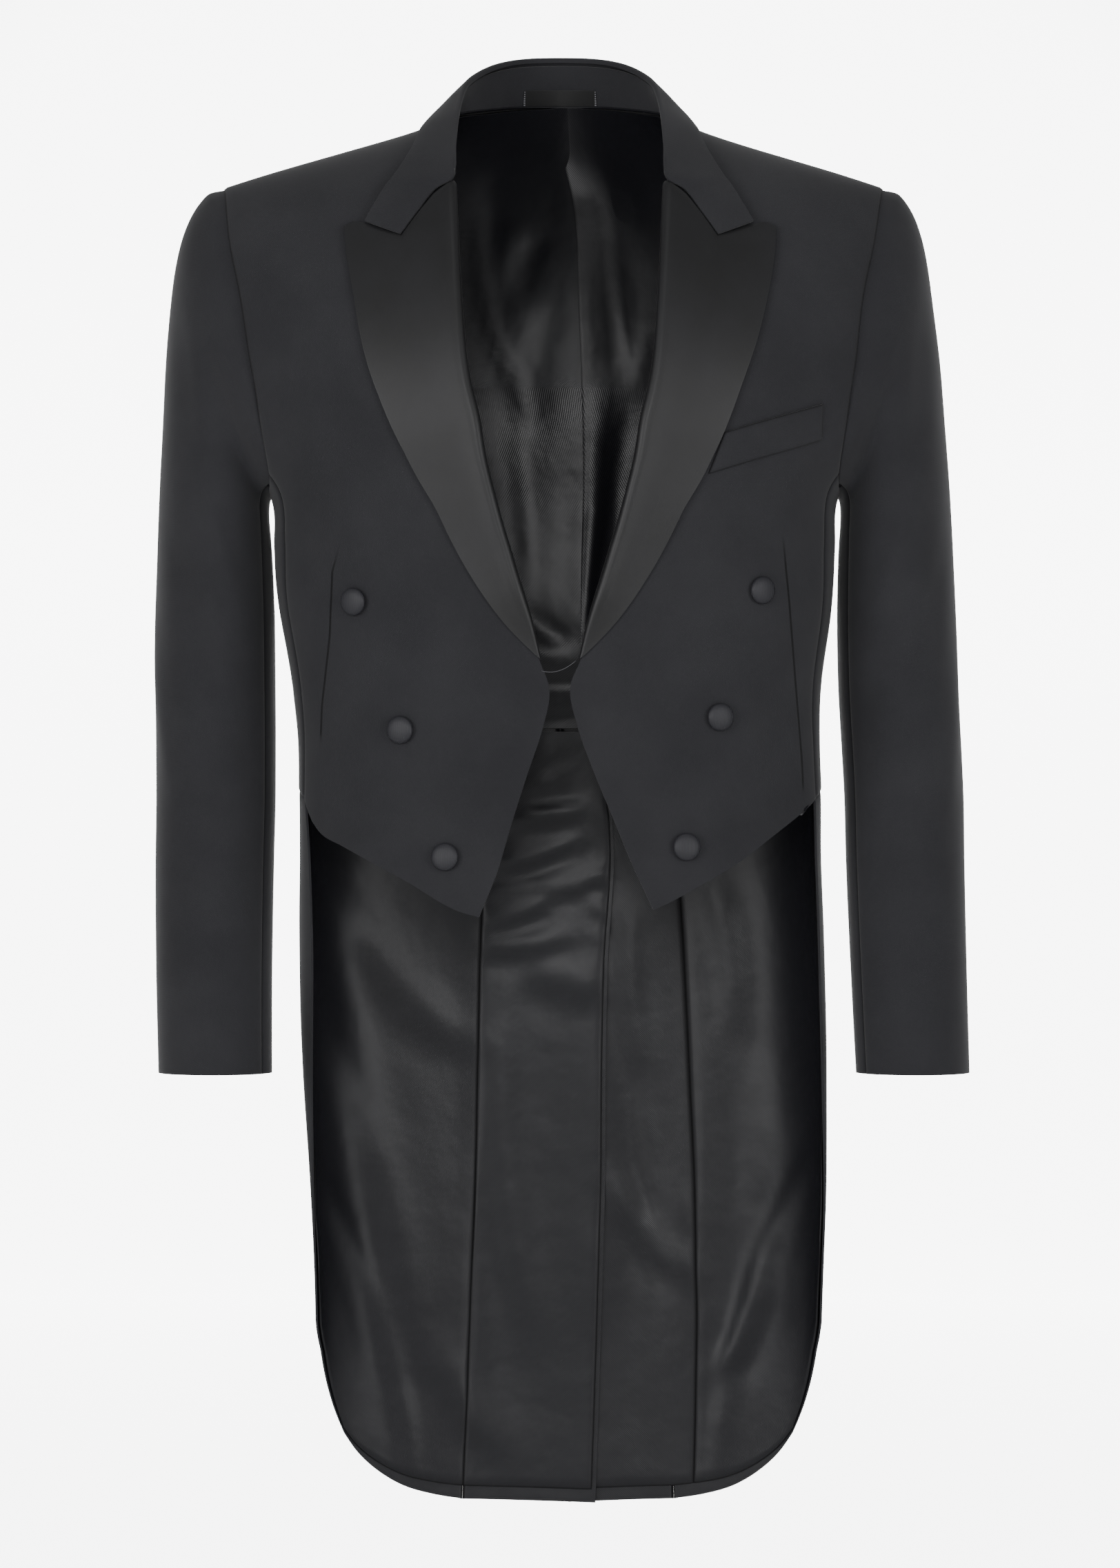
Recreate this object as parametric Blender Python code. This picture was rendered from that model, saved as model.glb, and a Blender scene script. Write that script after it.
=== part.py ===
"""White tie tailcoat, filled out as if worn, with nobody in it.

Each cut piece of cloth is one object: a grid laid over the form of the coat and given its
thickness. Sizes are in millimetres and are turned to metres as the meshes are made. The
front faces -Y, the wearer's left is +X, and the origin is between the shoulders at neck
height, where a wearer carries the coat.
"""

import math
from collections import namedtuple
from functools import lru_cache, partial

import bmesh
import bpy
import numpy as np
from mathutils import Matrix, Vector

MM = 0.001

# Cloth
CLOTH = 1.6           # wool, canvas and fusing together
COLLAR_CLOTH = 2.0
LINING = 1.0
SEAM = 0.3            # space between two pieces that are sewn together
LAID_ON = 0.8         # space under a lining or a label
HALF_SEAM = SEAM / 2 + 0.1

# Body of the coat: sections from the hem of the fronts up to the shoulders. A section is a
# rounded box, half_width across, front_depth and back_depth from the side line.
ROUNDNESS = 0.8
SIDE_LINE = 6         # depth of the shoulder seam
SHOULDER_SQUARENESS = 0.3     # 0 is an ellipse from chest to back; more is flatter on top
CHEST = -230          # above this height the cloth closes over the shoulder
WAIST = -441          # below this height the tails have a form of their own
Section = namedtuple("Section", "height half_width front_depth back_depth")
BODY = [
    Section(-620, 187, 126, 98),
    Section(-570, 187, 126, 98),
    Section(-520, 187, 125, 97),
    Section(-484, 187, 124, 96),
    Section(-441, 187, 124, 95),
    Section(-402, 189.3, 126, 97),
    Section(-346, 197.5, 131, 103),
    Section(-300, 201.5, 134, 107),
    Section(-262, 204.5, 137, 110),
    Section(-230, 226, 138, 113),
    Section(-189, 240, 138, 116),
    Section(-120, 246, 136, 118),
    Section(-60, 249, 132, 116),
    Section(40, 250, 128, 112),
]

# Tails: they hang from the waist and flatten towards the hem.
TailSection = namedtuple("TailSection", "height half_width front_depth back_depth side_line roundness")
TAIL = [
    TailSection(-1010, 183, 14, 112, 60, 1.0),
    TailSection(-900, 184, 16, 111, 52, 1.0),
    TailSection(-840, 184.5, 20, 109, 44, 0.98),
    TailSection(-760, 187, 28, 106, 30, 0.94),
    TailSection(-640, 189.5, 60, 101, 13, 0.86),
    TailSection(-570, 188.5, 105, 98, 4, 0.82),
    TailSection(-520, 187, 125, 97, 0, ROUNDNESS),
    TailSection(-484, 187, 124, 96, 0, ROUNDNESS),
    TailSection(-441, 187, 124, 95, 0, ROUNDNESS),
    TailSection(-402, 189.3, 126, 97, 0, ROUNDNESS),
]

# The coat hangs a few millimetres to one side of its middle, as on its form.
SWAY = [(-1010, 6), (-840, 6), (-760, 5.5), (-680, 3), (-600, 1), (-521, 0), (-481, 0), (-441, -1),
        (-402, -2.2), (-346, -3), (-262, -3.8), (-184, -4.8), (-105, -6), (-45, -4.7), (-10, -3), (40, 0)]
SWAY_STARTS = 60
SWAY_FULL = 150

# Shoulder and neck
NECK_X = 78
SHOULDER_X = 237
NAPE_HEIGHT = 24

# Armhole, 16 steps round from the shoulder point down the front: (girth angle, height).
# The girth angle is 0 at the centre front, 90 at the side and 180 at the centre back.
ARMHOLE = [(69.6, -42.5), (66, -77), (61.8, -118), (59.2, -158), (58.6, -198), (62, -231), (71, -250),
           (81.5, -259), (92, -262), (102, -256), (110, -240), (117, -214), (121.5, -178),
           (122.5, -142), (119.8, -106), (115.5, -73), (110.4, -42.5)]
FRONT_SEAM_AT = 6 / 16
BACK_SEAM_AT = 12 / 16

# Seams down the body, lowest point first: (height, girth angle) and (height, distance from
# the centre back)
SIDE_SEAM = [(-480, 74.5), (-400, 73), (-320, 72), (-250, 71)]
BACK_SEAM = [(-431, 47), (-402, 54), (-346, 75), (-300, 98), (-260, 125), (-225, 158), (-195, 190), (-178, 212)]
TAIL_SEAM = [(-995, 78), (-850, 72), (-650, 62), (-568, 58), (-431, 47)]
WAIST_SEAM = [(74.5, -480), (90, -473), (120, -454), (150, -438), (170, -431)]

# Fronts, as seen from the front: (distance from the middle, height)
FRONT_EDGE = {
    "right": [(57, -563), (44.5, -533), (34, -498), (22, -461), (12, -431), (7.5, -403)],
    "left": [(65, -558), (50, -525), (37.5, -495), (21, -455), (12.5, -431), (7.5, -400)],
}
FRONT_HEM = {
    "right": [(57, -563), (67, -560.5), (110, -537), (153, -514), (169, -505), (176, -495)],
    "left": [(65, -558), (74, -554), (100, -540), (120, -528.5), (151, -506), (174, -487)],
}
ROLL_LINE = [(13, -383), (19, -356), (32.4, -311), (47, -259), (56, -212), (61, -192), (67.5, -134),
             (70, -90), (72, -44)]
NECK_SEAM = [(74.5, -27), (76.5, -10), (77.6, 5)]

# Lapels of the wearer's left front: outer edge from the break to the peak, then the top.
LAPEL_EDGE = [(17, -380), (40, -356), (65, -319), (85, -281), (98.6, -259), (112, -234), (123, -210),
              (134, -182), (142.5, -159), (151, -128), (157, -92), (157.5, -79)]
LAPEL_TOP = [(72.2, -45.8), (87.6, -55.1), (100.8, -69.3), (113.9, -85.9), (127.5, -81), (141.2, -76.3),
             (150, -75), (157.5, -79)]
LAPEL_LAID = 0.9
LAPEL_ROLL_LIFT = 3.0
LAPEL_ROWS = 14
# The other front's lapel and collar end are narrower: (height, share of the width).
RIGHT_SHARE = [(-420, 1.0), (-300, 1.0), (-259, 0.95), (-184, 0.92), (-130, 0.85), (-75, 0.87), (-20, 0.93),
               (10, 1.0), (40, 1.0)]

# Collar, from the centre back to the collar end. The crease is a place in space, or on the
# front where crease_y is None; the edge is a place on the coat (distance from the middle,
# height) at the back or the front of it. rise is how high the crease stands.
CollarRow = namedtuple("CollarRow", "crease_x crease_y crease_z edge_x edge_z edge_face rise")
COLLAR = [
    CollarRow(0, 72, 57, 0, 12, 1, 2.6),
    CollarRow(27, 62, 55, 30, 9.5, 1, 2.6),
    CollarRow(45, 46, 50, 55, 6, 1, 2.6),
    CollarRow(59, 29, 42, 74, 3, 1, 2.6),
    CollarRow(68, 9, 32, 84, 4.5, 1, 2.6),
    CollarRow(72, -12, 18, 92, 4, -1, 2.6),
    CollarRow(74, -34, 3, 98, -5, -1, 2.6),
    CollarRow(74, -58, -17, 105, -21, -1, 3.0),
    CollarRow(72.5, None, -43.5, 117, -40, -1, 5.2),
    CollarRow(88.6, None, -53.5, 125, -50, -1, 4.0),
    CollarRow(101.5, None, -68.5, 133.5, -63, -1, 3.2),
    CollarRow(114.4, None, -84.7, 141, -75.3, -1, 3.0),
]
EDGE_RISE = 4.2
COLLAR_STATIONS = len(COLLAR) - 1
# Neck seam under the stand: (distance from the middle, height, back 1 or front -1)
STAND_SEAM = [(0, 24, 1), (30, 22.5, 1), (50, 19, 1), (65, 15.5, 1), (75.5, 12.2, 1), (77.8, 9.5, -1),
              (77.2, 2, -1)]
STAND_STARTS = 0.1     # share of the way down from the crease
FALL_BULGE = 4.0
FALL_ROWS = 4
STAND_ROWS = 2

# Tails: front edge as a girth angle on each side, then the round corner and the hem
TAIL_EDGE = {
    "right": [(-860, 86), (-780, 80), (-700, 75), (-640, 70.5), (-580, 68.5), (-520, 71), (-480, 74.5)],
    "left": [(-860, 87), (-780, 83), (-700, 80), (-640, 77.5), (-580, 76.5), (-520, 76), (-480, 74.5)],
}
HEM_CORNER = [(164, -944), (172, -923), (177.5, -902), (181, -881)]
HEM = [(164, -944), (154, -959), (142, -971), (122, -984), (98, -991.5), (78, -995)]
CENTRE_HEM = [(78, -995), (40, -997.5), (0, -998.5)]
# The underlap of the vent: (height, how far its edge passes the centre back)
UNDERLAP = [(-998.5, 20), (-603, 34), (-506, 39), (-487, 37), (-443, 0), (-431, 0)]
VENT_LIFT = 4.0
VENT_OPENS = -431
VENT_OPEN = -443
VENT_LAP = 45
VENT_FADES = 110
# Where the lining's seam runs, in columns of the skirt panel from its front edge
LINING_SEAM_COLUMN = {"right": 9, "left": 7.75}

# Sleeves: stations from the armhole to the cuff. The outer and inner lines are seen from
# the front; half_depth is front to back, and centre is how far back its middle lies.
SleeveRow = namedtuple("SleeveRow", "outer_x outer_z inner_x inner_z half_depth centre")
SLEEVE = [
    SleeveRow(238.0, -42.5, 205.2, -262, 71, 3),
    SleeveRow(249, -46, 205.8, -265, 72, 3),
    SleeveRow(258, -57, 206.2, -269, 73, 4),
    SleeveRow(265, -74, 206, -274, 73, 5),
    SleeveRow(270, -97, 205.5, -280, 72, 6),
    SleeveRow(274, -128, 204.8, -288, 71, 7),
    SleeveRow(278, -166, 204, -298, 70, 8),
    SleeveRow(281, -210, 203.3, -312, 69, 9),
    SleeveRow(284, -258, 202.6, -331, 67, 9),
    SleeveRow(286.5, -320, 202, -360, 64, 8),
    SleeveRow(288, -390, 202.3, -410, 60, 6),
    SleeveRow(289.5, -470, 203.8, -470, 56, 1),
    SleeveRow(290, -535, 205.2, -535, 53, -5),
    SleeveRow(290, -605, 207, -605, 50, -13),
    SleeveRow(289.6, -676, 208.5, -676, 47.5, -22),
]
SLEEVE_LEAVES = 5      # stations over which the armhole's own shape fades out
SLEEVE_SEAMS = (-7, 10, 17)      # columns counted round from the shoulder point
SLEEVE_GAP = 0.9       # between the armhole's edge and the sleeve head
SLEEVE_INSET = 0.028   # of a column, along the two long seams

# Buttons, pocket and label
BUTTON_PROFILE = [(0, 0), (7.6, 0), (9.6, 1.8), (9.0, 3.8), (5.4, 5.2), (0, 5.8)]
BUTTON_STEPS = 12
BUTTON_LIFT = 0.4      # a button's or the welt's underside stands off the cloth
FRONT_BUTTONS = {
    "right": [(141, -342), (110.5, -432), (80, -521)],
    "left": [(144, -334), (112.5, -423), (88, -514)],
}
BACK_BUTTON = (40, -419)
WELT = [(105, -254), (189, -228.5), (189.5, -203), (117.5, -224.5)]
LABEL = 0.6
LABEL_SHARE = (0.55, 0.95)    # from the crease down to the neck seam

# Divisions of the grids
FRONT_COLUMNS = 9
SEAM_ROWS = 9
ARM_ROWS = 9
BACK_ARM_ROWS = 6
SIDE_COLUMNS = 9
BACK_COLUMNS = 5
TAIL_ROWS = 13        # the top one ends where the vent opens
BACK_ROWS = TAIL_ROWS + SEAM_ROWS + BACK_ARM_ROWS
SLEEVE_COLUMNS = 24

COLOURS = {
    "wool": ((0.036, 0.035, 0.042, 1), 0.85),
    "lapel_satin": ((0.030, 0.030, 0.033, 1), 0.42),
    "lining_satin": ((0.012, 0.012, 0.015, 1), 0.35),
    "covered_button": ((0.040, 0.040, 0.045, 1), 0.5),
    "label": ((0.010, 0.010, 0.012, 1), 0.6),
}


def glide(table, place):
    """Every later column of a table, smoothly, at a place along its first column."""
    knots = np.array(table, float)
    if knots[0, 0] > knots[-1, 0]:
        knots = knots[::-1]
    places, values = knots[:, 0], knots[:, 1:]
    slopes = np.gradient(values, places, axis=0)
    place = min(max(place, places[0]), places[-1])
    low = int(np.clip(np.searchsorted(places, place) - 1, 0, len(places) - 2))
    span = places[low + 1] - places[low]
    t = (place - places[low]) / span
    return ((1 + 2 * t) * (1 - t) ** 2 * values[low] + t * (1 - t) ** 2 * span * slopes[low]
            + t * t * (3 - 2 * t) * values[low + 1] + t * t * (t - 1) * span * slopes[low + 1])


def smooth(value):
    """An even rise from 0 to 1, level at both ends."""
    value = min(max(value, 0.0), 1.0)
    return value * value * (3 - 2 * value)


def ridge(x):
    """Height of the shoulder line, which climbs to the nape inside the neck."""
    x = abs(x)
    return -1 - (x - 100) * 0.302 + 105 * math.exp(-((x / 45) ** 2))


def sway(x, z):
    aside = float(glide(SWAY, z)[0])
    return aside if z < -480 else aside * smooth((abs(x) - SWAY_STARTS) / (SWAY_FULL - SWAY_STARTS))


def placed(side, x, y, z):
    """A point of one half of the coat, put on its side, in millimetres."""
    return np.array([side * x + sway(x, z), y, z])


def section(z, tail):
    """half_width, front_depth, back_depth, side line and roundness at a height."""
    if tail and z < WAIST:
        return glide(TAIL, z)
    width, front, back = glide(BODY, z)
    return width, front, back, 0.0, ROUNDNESS


def girth_angle(x, z, face, tail=False):
    """Girth angle of a point at x, on the front (-1) or the back (1)."""
    half_width, _, _, _, roundness = section(z, tail)
    angle = math.degrees(math.asin(min(abs(x) / half_width, 1) ** (1 / roundness))) * (1 if x >= 0 else -1)
    return angle if face < 0 else 180 - angle


def cloth_height(x, z):
    """Height along the cloth: above the chest it goes on round, over the shoulder."""
    if z <= CHEST:
        return z
    reach = ridge(x) - CHEST
    return CHEST + reach * math.asin(min((z - CHEST) / reach, 1))


def spot_at(x, z, face=-1, tail=False):
    """(girth angle, cloth height) of a point seen from the front or from the back."""
    return np.array([girth_angle(x, z, face, tail), cloth_height(x, z)])


def form(side, angle, height, tail=False):
    """The coat's outer face at a girth angle and a cloth height."""
    sine, cosine = math.sin(math.radians(angle)), math.cos(math.radians(angle))
    z, turn = height, 0.0
    for _ in range(5 if height > CHEST else 1):
        half_width, front_depth, back_depth, side_line, roundness = section(z, tail)
        x = half_width * math.copysign(abs(sine) ** roundness, sine)
        if height > CHEST:
            reach = ridge(x) - CHEST
            turn = min((height - CHEST) / reach, math.pi / 2)
            z = CHEST + reach * math.sin(turn)
    if cosine > 0:
        y = side_line - front_depth * cosine ** roundness
    else:
        y = side_line + (back_depth - side_line) * (-cosine) ** roundness
    if height > CHEST:
        middle = SIDE_LINE * smooth(turn)
        squareness = 1 - SHOULDER_SQUARENESS * smooth((abs(x) - 115) / 100)
        y = middle + (y - middle) * max(math.cos(turn), 0) ** squareness
    if tail and side > 0 and cosine < 0:
        opened = smooth((VENT_OPENS - z) / (VENT_OPENS - VENT_OPEN))
        y += VENT_LIFT * opened * (1 - smooth((abs(x) - VENT_LAP) / (VENT_FADES - VENT_LAP)))
    return placed(side, x, y, z)


def outward(side, angle, height, distance, tail=False):
    """A point moved out of the coat's face, or into it where distance is below 0."""
    here = form(side, angle, height, tail)
    along = form(side, angle + 0.5, height, tail) - form(side, angle - 0.5, height, tail)
    up = here - form(side, angle, height - 1, tail)
    normal = np.cross(along, up) * side
    return here + normal / np.linalg.norm(normal) * distance


def on_front(side, x, z, distance=0.0):
    return outward(side, *spot_at(x, z, -1), distance)


def on_back(side, x, z, distance=0.0):
    return outward(side, *spot_at(x, z, 1), distance)


def through(places, tail=False):
    """A smooth line through (girth angle, cloth height) places, even in its true length."""
    places = np.array(places, float)
    points = np.array([form(1, *place, tail) for place in places])
    steps = np.linalg.norm(np.diff(points, axis=0), axis=1)
    table = np.column_stack([np.concatenate([[0], np.cumsum(steps)]) / steps.sum(), places])
    return lambda t: glide(table, t)


def seen(points, face=-1, tail=False):
    """The same through points seen from the front or from the back."""
    return through([spot_at(x, z, face, tail) for x, z in points], tail)


def straight(start, end):
    return lambda t: start + t * (end - start)


def turned_round(line):
    return lambda t: line(1 - t)


def stretches(*parts):
    """One line made of (rows, line) parts, so that a grid's rows fall on their ends."""
    total = sum(rows for rows, _ in parts)

    def line(t):
        row = t * total
        for rows, part in parts[:-1]:
            if row <= rows:
                return part(row / rows)
            row -= rows
        return parts[-1][1](min(row / parts[-1][0], 1))
    return line


def stacked(*parts):
    """Patches one above another, given as (rows, patch) from the lowest up."""
    return lambda u, v: stretches(*[(rows, partial(patch, u)) for rows, patch in parts])(v)


def between(bottom, top, inner, outer):
    """The patch held by four lines of (girth angle, cloth height), each run from low to high."""
    corners = bottom(0), bottom(1), top(0), top(1)

    def place(u, v):
        edges = (1 - v) * bottom(u) + v * top(u) + (1 - u) * inner(v) + u * outer(v)
        return edges - ((1 - u) * (1 - v) * corners[0] + u * (1 - v) * corners[1]
                        + (1 - u) * v * corners[2] + u * v * corners[3])
    return place


def laid(side, patch, tail=False):
    """A patch laid on the coat's form, drawn in from its seams by half of their space."""
    @lru_cache(maxsize=None)
    def inset(start, end):
        return HALF_SEAM / np.linalg.norm(form(1, *patch(*end), tail) - form(1, *patch(*start), tail))

    @lru_cache(maxsize=None)
    def place(u, v):
        edge_u, edge_v = inset((0, v), (1, v)), inset((u, 0), (u, 1))
        return patch(edge_u + u * (1 - 2 * edge_u), edge_v + v * (1 - 2 * edge_v))
    return lambda u, v, depth: outward(side, *place(u, v), -depth, tail)


def facets(spot, columns, rows, below):
    """The same face as flat as its grid makes it, for what lies below it."""
    grids = {}

    def flat(u, v, depth):
        if depth not in grids:
            grids[depth] = [[spot(i / columns, j / rows, below + depth) for j in range(rows + 1)]
                            for i in range(columns + 1)]
        grid = grids[depth]
        i, j = min(int(u * columns), columns - 1), min(int(v * rows), rows - 1)
        a, b = u * columns - i, v * rows - j
        return ((1 - a) * (1 - b) * grid[i][j] + a * (1 - b) * grid[i + 1][j]
                + (1 - a) * b * grid[i][j + 1] + a * b * grid[i + 1][j + 1])
    return flat


def thick(face, side=1):
    """A face of two shares, given a third one: the depth below it along its own normal."""
    def spot(u, v, depth):
        along = face(u + 0.01, v) - face(u - 0.01, v)
        down = face(u, v + 0.01) - face(u, v - 0.01)
        normal = np.cross(along, down) * side
        return face(u, v) - normal / np.linalg.norm(normal) * depth
    return spot


def material(name):
    made = bpy.data.materials.get(name)
    if made is None:
        made = bpy.data.materials.new(name)
        made.use_nodes = True
        colour, roughness = COLOURS[name]
        shader = made.node_tree.nodes["Principled BSDF"]
        shader.inputs["Base Color"].default_value = colour
        shader.inputs["Roughness"].default_value = roughness
        shader.inputs["Metallic"].default_value = 0.0
        made.diffuse_color = colour
    return made


def add_object(name, bm, finish):
    mesh = bpy.data.meshes.new(name)
    bm.to_mesh(mesh)
    bm.free()
    mesh.shade_smooth()
    piece = bpy.data.objects.new(name, mesh)
    piece.data.materials.append(material(finish))
    bpy.context.collection.objects.link(piece)
    return piece


def cloth(name, spot, columns, rows, thickness=CLOTH, finish="wool", across=None, up=None):
    """A piece of cloth: a grid laid by spot(u, v, depth), closed round its thickness."""
    bm = bmesh.new()
    bmesh.ops.create_grid(bm, x_segments=columns, y_segments=rows, size=0.5)
    bmesh.ops.triangulate(bm, faces=bm.faces, quad_method="FIXED")
    inner = list(bm.verts)
    made = bmesh.ops.extrude_face_region(bm, geom=bm.faces[:], use_keep_orig=True)
    outer = [item for item in made["geom"] if isinstance(item, bmesh.types.BMVert)]
    for verts, depth in ((outer, 0.0), (inner, thickness)):
        for vertex in verts:
            column, row = round((vertex.co.x + 0.5) * columns), round((vertex.co.y + 0.5) * rows)
            u = across[column] if across else column / columns
            v = up[row] if up else row / rows
            vertex.co = Vector(spot(u, v, depth)) * MM
    bmesh.ops.recalc_face_normals(bm, faces=bm.faces)
    if bm.calc_volume(signed=True) < 0:
        bmesh.ops.reverse_faces(bm, faces=bm.faces)
    return add_object(name, bm, finish)


def side_of(name):
    return 1 if name == "left" else -1


def armhole_rows():
    """The armhole table turned to cloth heights; both ends are the shoulder seam's end."""
    rows = []
    for count, (angle, height) in enumerate(ARMHOLE):
        across = section(height, False)[0] * math.sin(math.radians(angle)) ** ROUNDNESS
        rows.append((count / 16, angle, cloth_height(across, height)))
    rows[0] = (0, *spot_at(SHOULDER_X, ridge(SHOULDER_X), -1))
    rows[16] = (1, *spot_at(SHOULDER_X, ridge(SHOULDER_X), 1))
    return rows


ARMHOLE_ROWS = armhole_rows()


def armhole(t):
    return glide(ARMHOLE_ROWS, t)


def share(side, x, z):
    """The wearer's right lapel and collar end are a little narrower than the left."""
    if side > 0:
        return x
    roll = float(glide([(height, across) for across, height in ROLL_LINE], z)[0])
    return roll + (x - roll) * float(glide(RIGHT_SHARE, z)[0])


def side_seam(t):
    height = SIDE_SEAM[0][0] + t * (SIDE_SEAM[-1][0] - SIDE_SEAM[0][0])
    return np.array([float(glide(SIDE_SEAM, height)[0]), height])


BACK_LINE = through([spot_at(x, z, 1) for z, x in BACK_SEAM[:-1]] + [armhole(BACK_SEAM_AT)])
WAIST_LINE = through(WAIST_SEAM[:-1] + [tuple(BACK_LINE(0))])


def tail_height(t, hem):
    """Heights of the tail's rows; the top row is the stretch in which the vent opens."""
    last = (TAIL_ROWS - 1) / TAIL_ROWS
    if t <= last:
        return hem + t / last * (VENT_OPEN - hem)
    return VENT_OPEN + (t - last) / (1 - last) * (VENT_OPENS - VENT_OPEN)


def tail_seam(t):
    height = tail_height(t, TAIL_SEAM[0][0])
    return np.array([girth_angle(float(glide(TAIL_SEAM, height)[0]), height, 1, True), height])


def shoulder_seam(face):
    def line(t):
        x = NECK_X + t * (SHOULDER_X - NECK_X)
        return spot_at(x, ridge(x), face)
    return line


def front_face(name):
    """Front from the hem to the shoulder; above the break its edge is the roll line."""
    neck_point = (NECK_X, ridge(NECK_X))
    inner = seen(FRONT_EDGE[name] + ROLL_LINE + NECK_SEAM + [neck_point])
    hem = seen(FRONT_HEM[name])

    def arm(t):
        return armhole(FRONT_SEAM_AT * (1 - t))

    outer = stretches((1, straight(hem(1), side_seam(0))), (SEAM_ROWS, side_seam), (ARM_ROWS, arm))
    return laid(side_of(name), between(hem, shoulder_seam(-1), inner, outer))


def side_face(name):
    def top(t):
        return armhole(FRONT_SEAM_AT + t * (BACK_SEAM_AT - FRONT_SEAM_AT))
    return laid(side_of(name), between(WAIST_LINE, top, side_seam, BACK_LINE))


def back_face(name):
    """Back and the middle of the tail in one, from the hem to the neck and shoulder."""
    def arm(t):
        return armhole(BACK_SEAM_AT + t * (1 - BACK_SEAM_AT))

    def centre_tail(t):
        height = tail_height(t, CENTRE_HEM[-1][1])
        past = float(glide(UNDERLAP, height)[0]) if name == "right" else 0.0
        return np.array([girth_angle(-past, height, 1, True), height])

    waist, level, nape = [np.array([180.0, height]) for height in
                          (VENT_OPENS, BACK_SEAM[-1][0], cloth_height(0, NAPE_HEIGHT))]
    waist_row, level_row = straight(BACK_LINE(0), waist), straight(BACK_LINE(1), level)
    neck_points = [(x, z) for x, z, _ in STAND_SEAM[:4]] + [(NECK_X, ridge(NECK_X))]
    top = stretches((3, turned_round(shoulder_seam(1))), (2, turned_round(seen(neck_points, 1))))
    tail = between(straight(tail_seam(0), centre_tail(0)), waist_row, tail_seam, centre_tail)
    middle = between(waist_row, level_row, BACK_LINE, straight(waist, level))
    upper = between(level_row, top, arm, straight(level, nape))
    whole = stacked((TAIL_ROWS, tail), (SEAM_ROWS, middle), (BACK_ARM_ROWS, upper))
    return laid(side_of(name), whole, True)


def skirt_face(name):
    """Outer half of a tail, from its front edge round to the tail seam."""
    edge = through([(angle, height) for height, angle in TAIL_EDGE[name]], True)
    corner = seen(HEM_CORNER, 1, True)
    front_edge = stretches((2, corner), (1, straight(corner(1), edge(0))), (TAIL_ROWS - 3, edge))
    return laid(side_of(name), between(seen(HEM, 1, True), WAIST_LINE, front_edge, tail_seam), True)


def linings(name):
    """Back lining above the waist and two linings in the tail, laid on the cloth's inside."""
    back = facets(back_face(name), BACK_COLUMNS, BACK_ROWS, CLOTH + LAID_ON)
    skirt = facets(skirt_face(name), SIDE_COLUMNS, TAIL_ROWS, CLOTH + LAID_ON)
    rows = [TAIL_ROWS + 0.05] + list(range(TAIL_ROWS + 1, BACK_ROWS)) + [BACK_ROWS - 0.05]
    columns = [0.08] + list(range(1, BACK_COLUMNS)) + [BACK_COLUMNS - 0.03]
    cloth("back_lining_" + name, back, BACK_COLUMNS, len(rows) - 1, LINING, "lining_satin",
          [column / BACK_COLUMNS for column in columns], [row / BACK_ROWS for row in rows])

    def tail_inside(w, v, depth):
        """w runs from the tail's front edge, 0, over its seam, 1, to the centre back, 2."""
        if w <= 1:
            return skirt(w, v, depth)
        return back(w - 1, v * TAIL_ROWS / BACK_ROWS, depth)

    seam_column = LINING_SEAM_COLUMN[name]
    skirt_columns = list(range(1, SIDE_COLUMNS))
    side_columns = [0.36] + [column for column in skirt_columns if column < seam_column] + [seam_column - 0.02]
    across_side = [column / SIDE_COLUMNS for column in side_columns]
    if name == "left":
        centre_columns = [seam_column + 0.02] + [column for column in skirt_columns if column > seam_column]
        across_centre = [column / SIDE_COLUMNS for column in centre_columns] + [1.0]
    else:
        across_centre = [1 + 0.02 / BACK_COLUMNS]
    across_centre += [1 + column / BACK_COLUMNS for column in list(range(1, BACK_COLUMNS)) + [BACK_COLUMNS - 0.35]]
    top = TAIL_ROWS - 1 if name == "left" else TAIL_ROWS - 0.04
    up_side = [0.2] + list(range(1, TAIL_ROWS)) + [TAIL_ROWS - 0.04]
    up_centre = [row for row in up_side if row < top] + [top]
    for part, across, up in (("side", across_side, up_side), ("centre", across_centre, up_centre)):
        cloth("tail_lining_" + part + "_" + name, tail_inside, len(across) - 1, len(up) - 1, LINING,
              "lining_satin", across, [row / TAIL_ROWS for row in up])


def lapel(name):
    """The turned-back satin lapel, from the roll line to its pointed outer edge."""
    side = side_of(name)
    top_places = [spot_at(share(side, x, z), z) for x, z in LAPEL_TOP]

    def top(t):
        place = t * (len(top_places) - 1)
        low = min(int(place), len(top_places) - 2)
        return top_places[low] + (place - low) * (top_places[low + 1] - top_places[low])

    inner = through([spot_at(x, z) for x, z in ROLL_LINE[:-1]] + [top_places[0]])
    outer = seen([(share(side, x, z), z) for x, z in LAPEL_EDGE])
    patch = between(straight(inner(0), outer(0)), top, inner, outer)

    def spot(u, v, depth):
        lift = LAPEL_LAID + COLLAR_CLOTH + LAPEL_ROLL_LIFT * (1 - u) ** 3 * smooth(v * 5)
        return outward(side, *patch(u, v), lift - depth)
    cloth("lapel_" + name, spot, len(LAPEL_TOP) - 1, LAPEL_ROWS, COLLAR_CLOTH, "lapel_satin")


def fall_stations():
    """The fall's crease and edge, station by station, from the right end to the left end."""
    stations = []
    for count in range(-COLLAR_STATIONS, COLLAR_STATIONS + 1):
        row, side = COLLAR[abs(count)], 1 if count >= 0 else -1
        edge_x = share(side, row.edge_x, row.edge_z)
        edge = (on_front if row.edge_face < 0 else on_back)(side, edge_x, row.edge_z, EDGE_RISE)
        if row.crease_y is None:
            crease = on_front(side, share(side, row.crease_x, row.crease_z), row.crease_z, row.rise)
        else:
            crease = placed(side, row.crease_x, row.crease_y, row.crease_z + row.rise)
        stations.append([count, *crease, *edge])
    return stations


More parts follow.
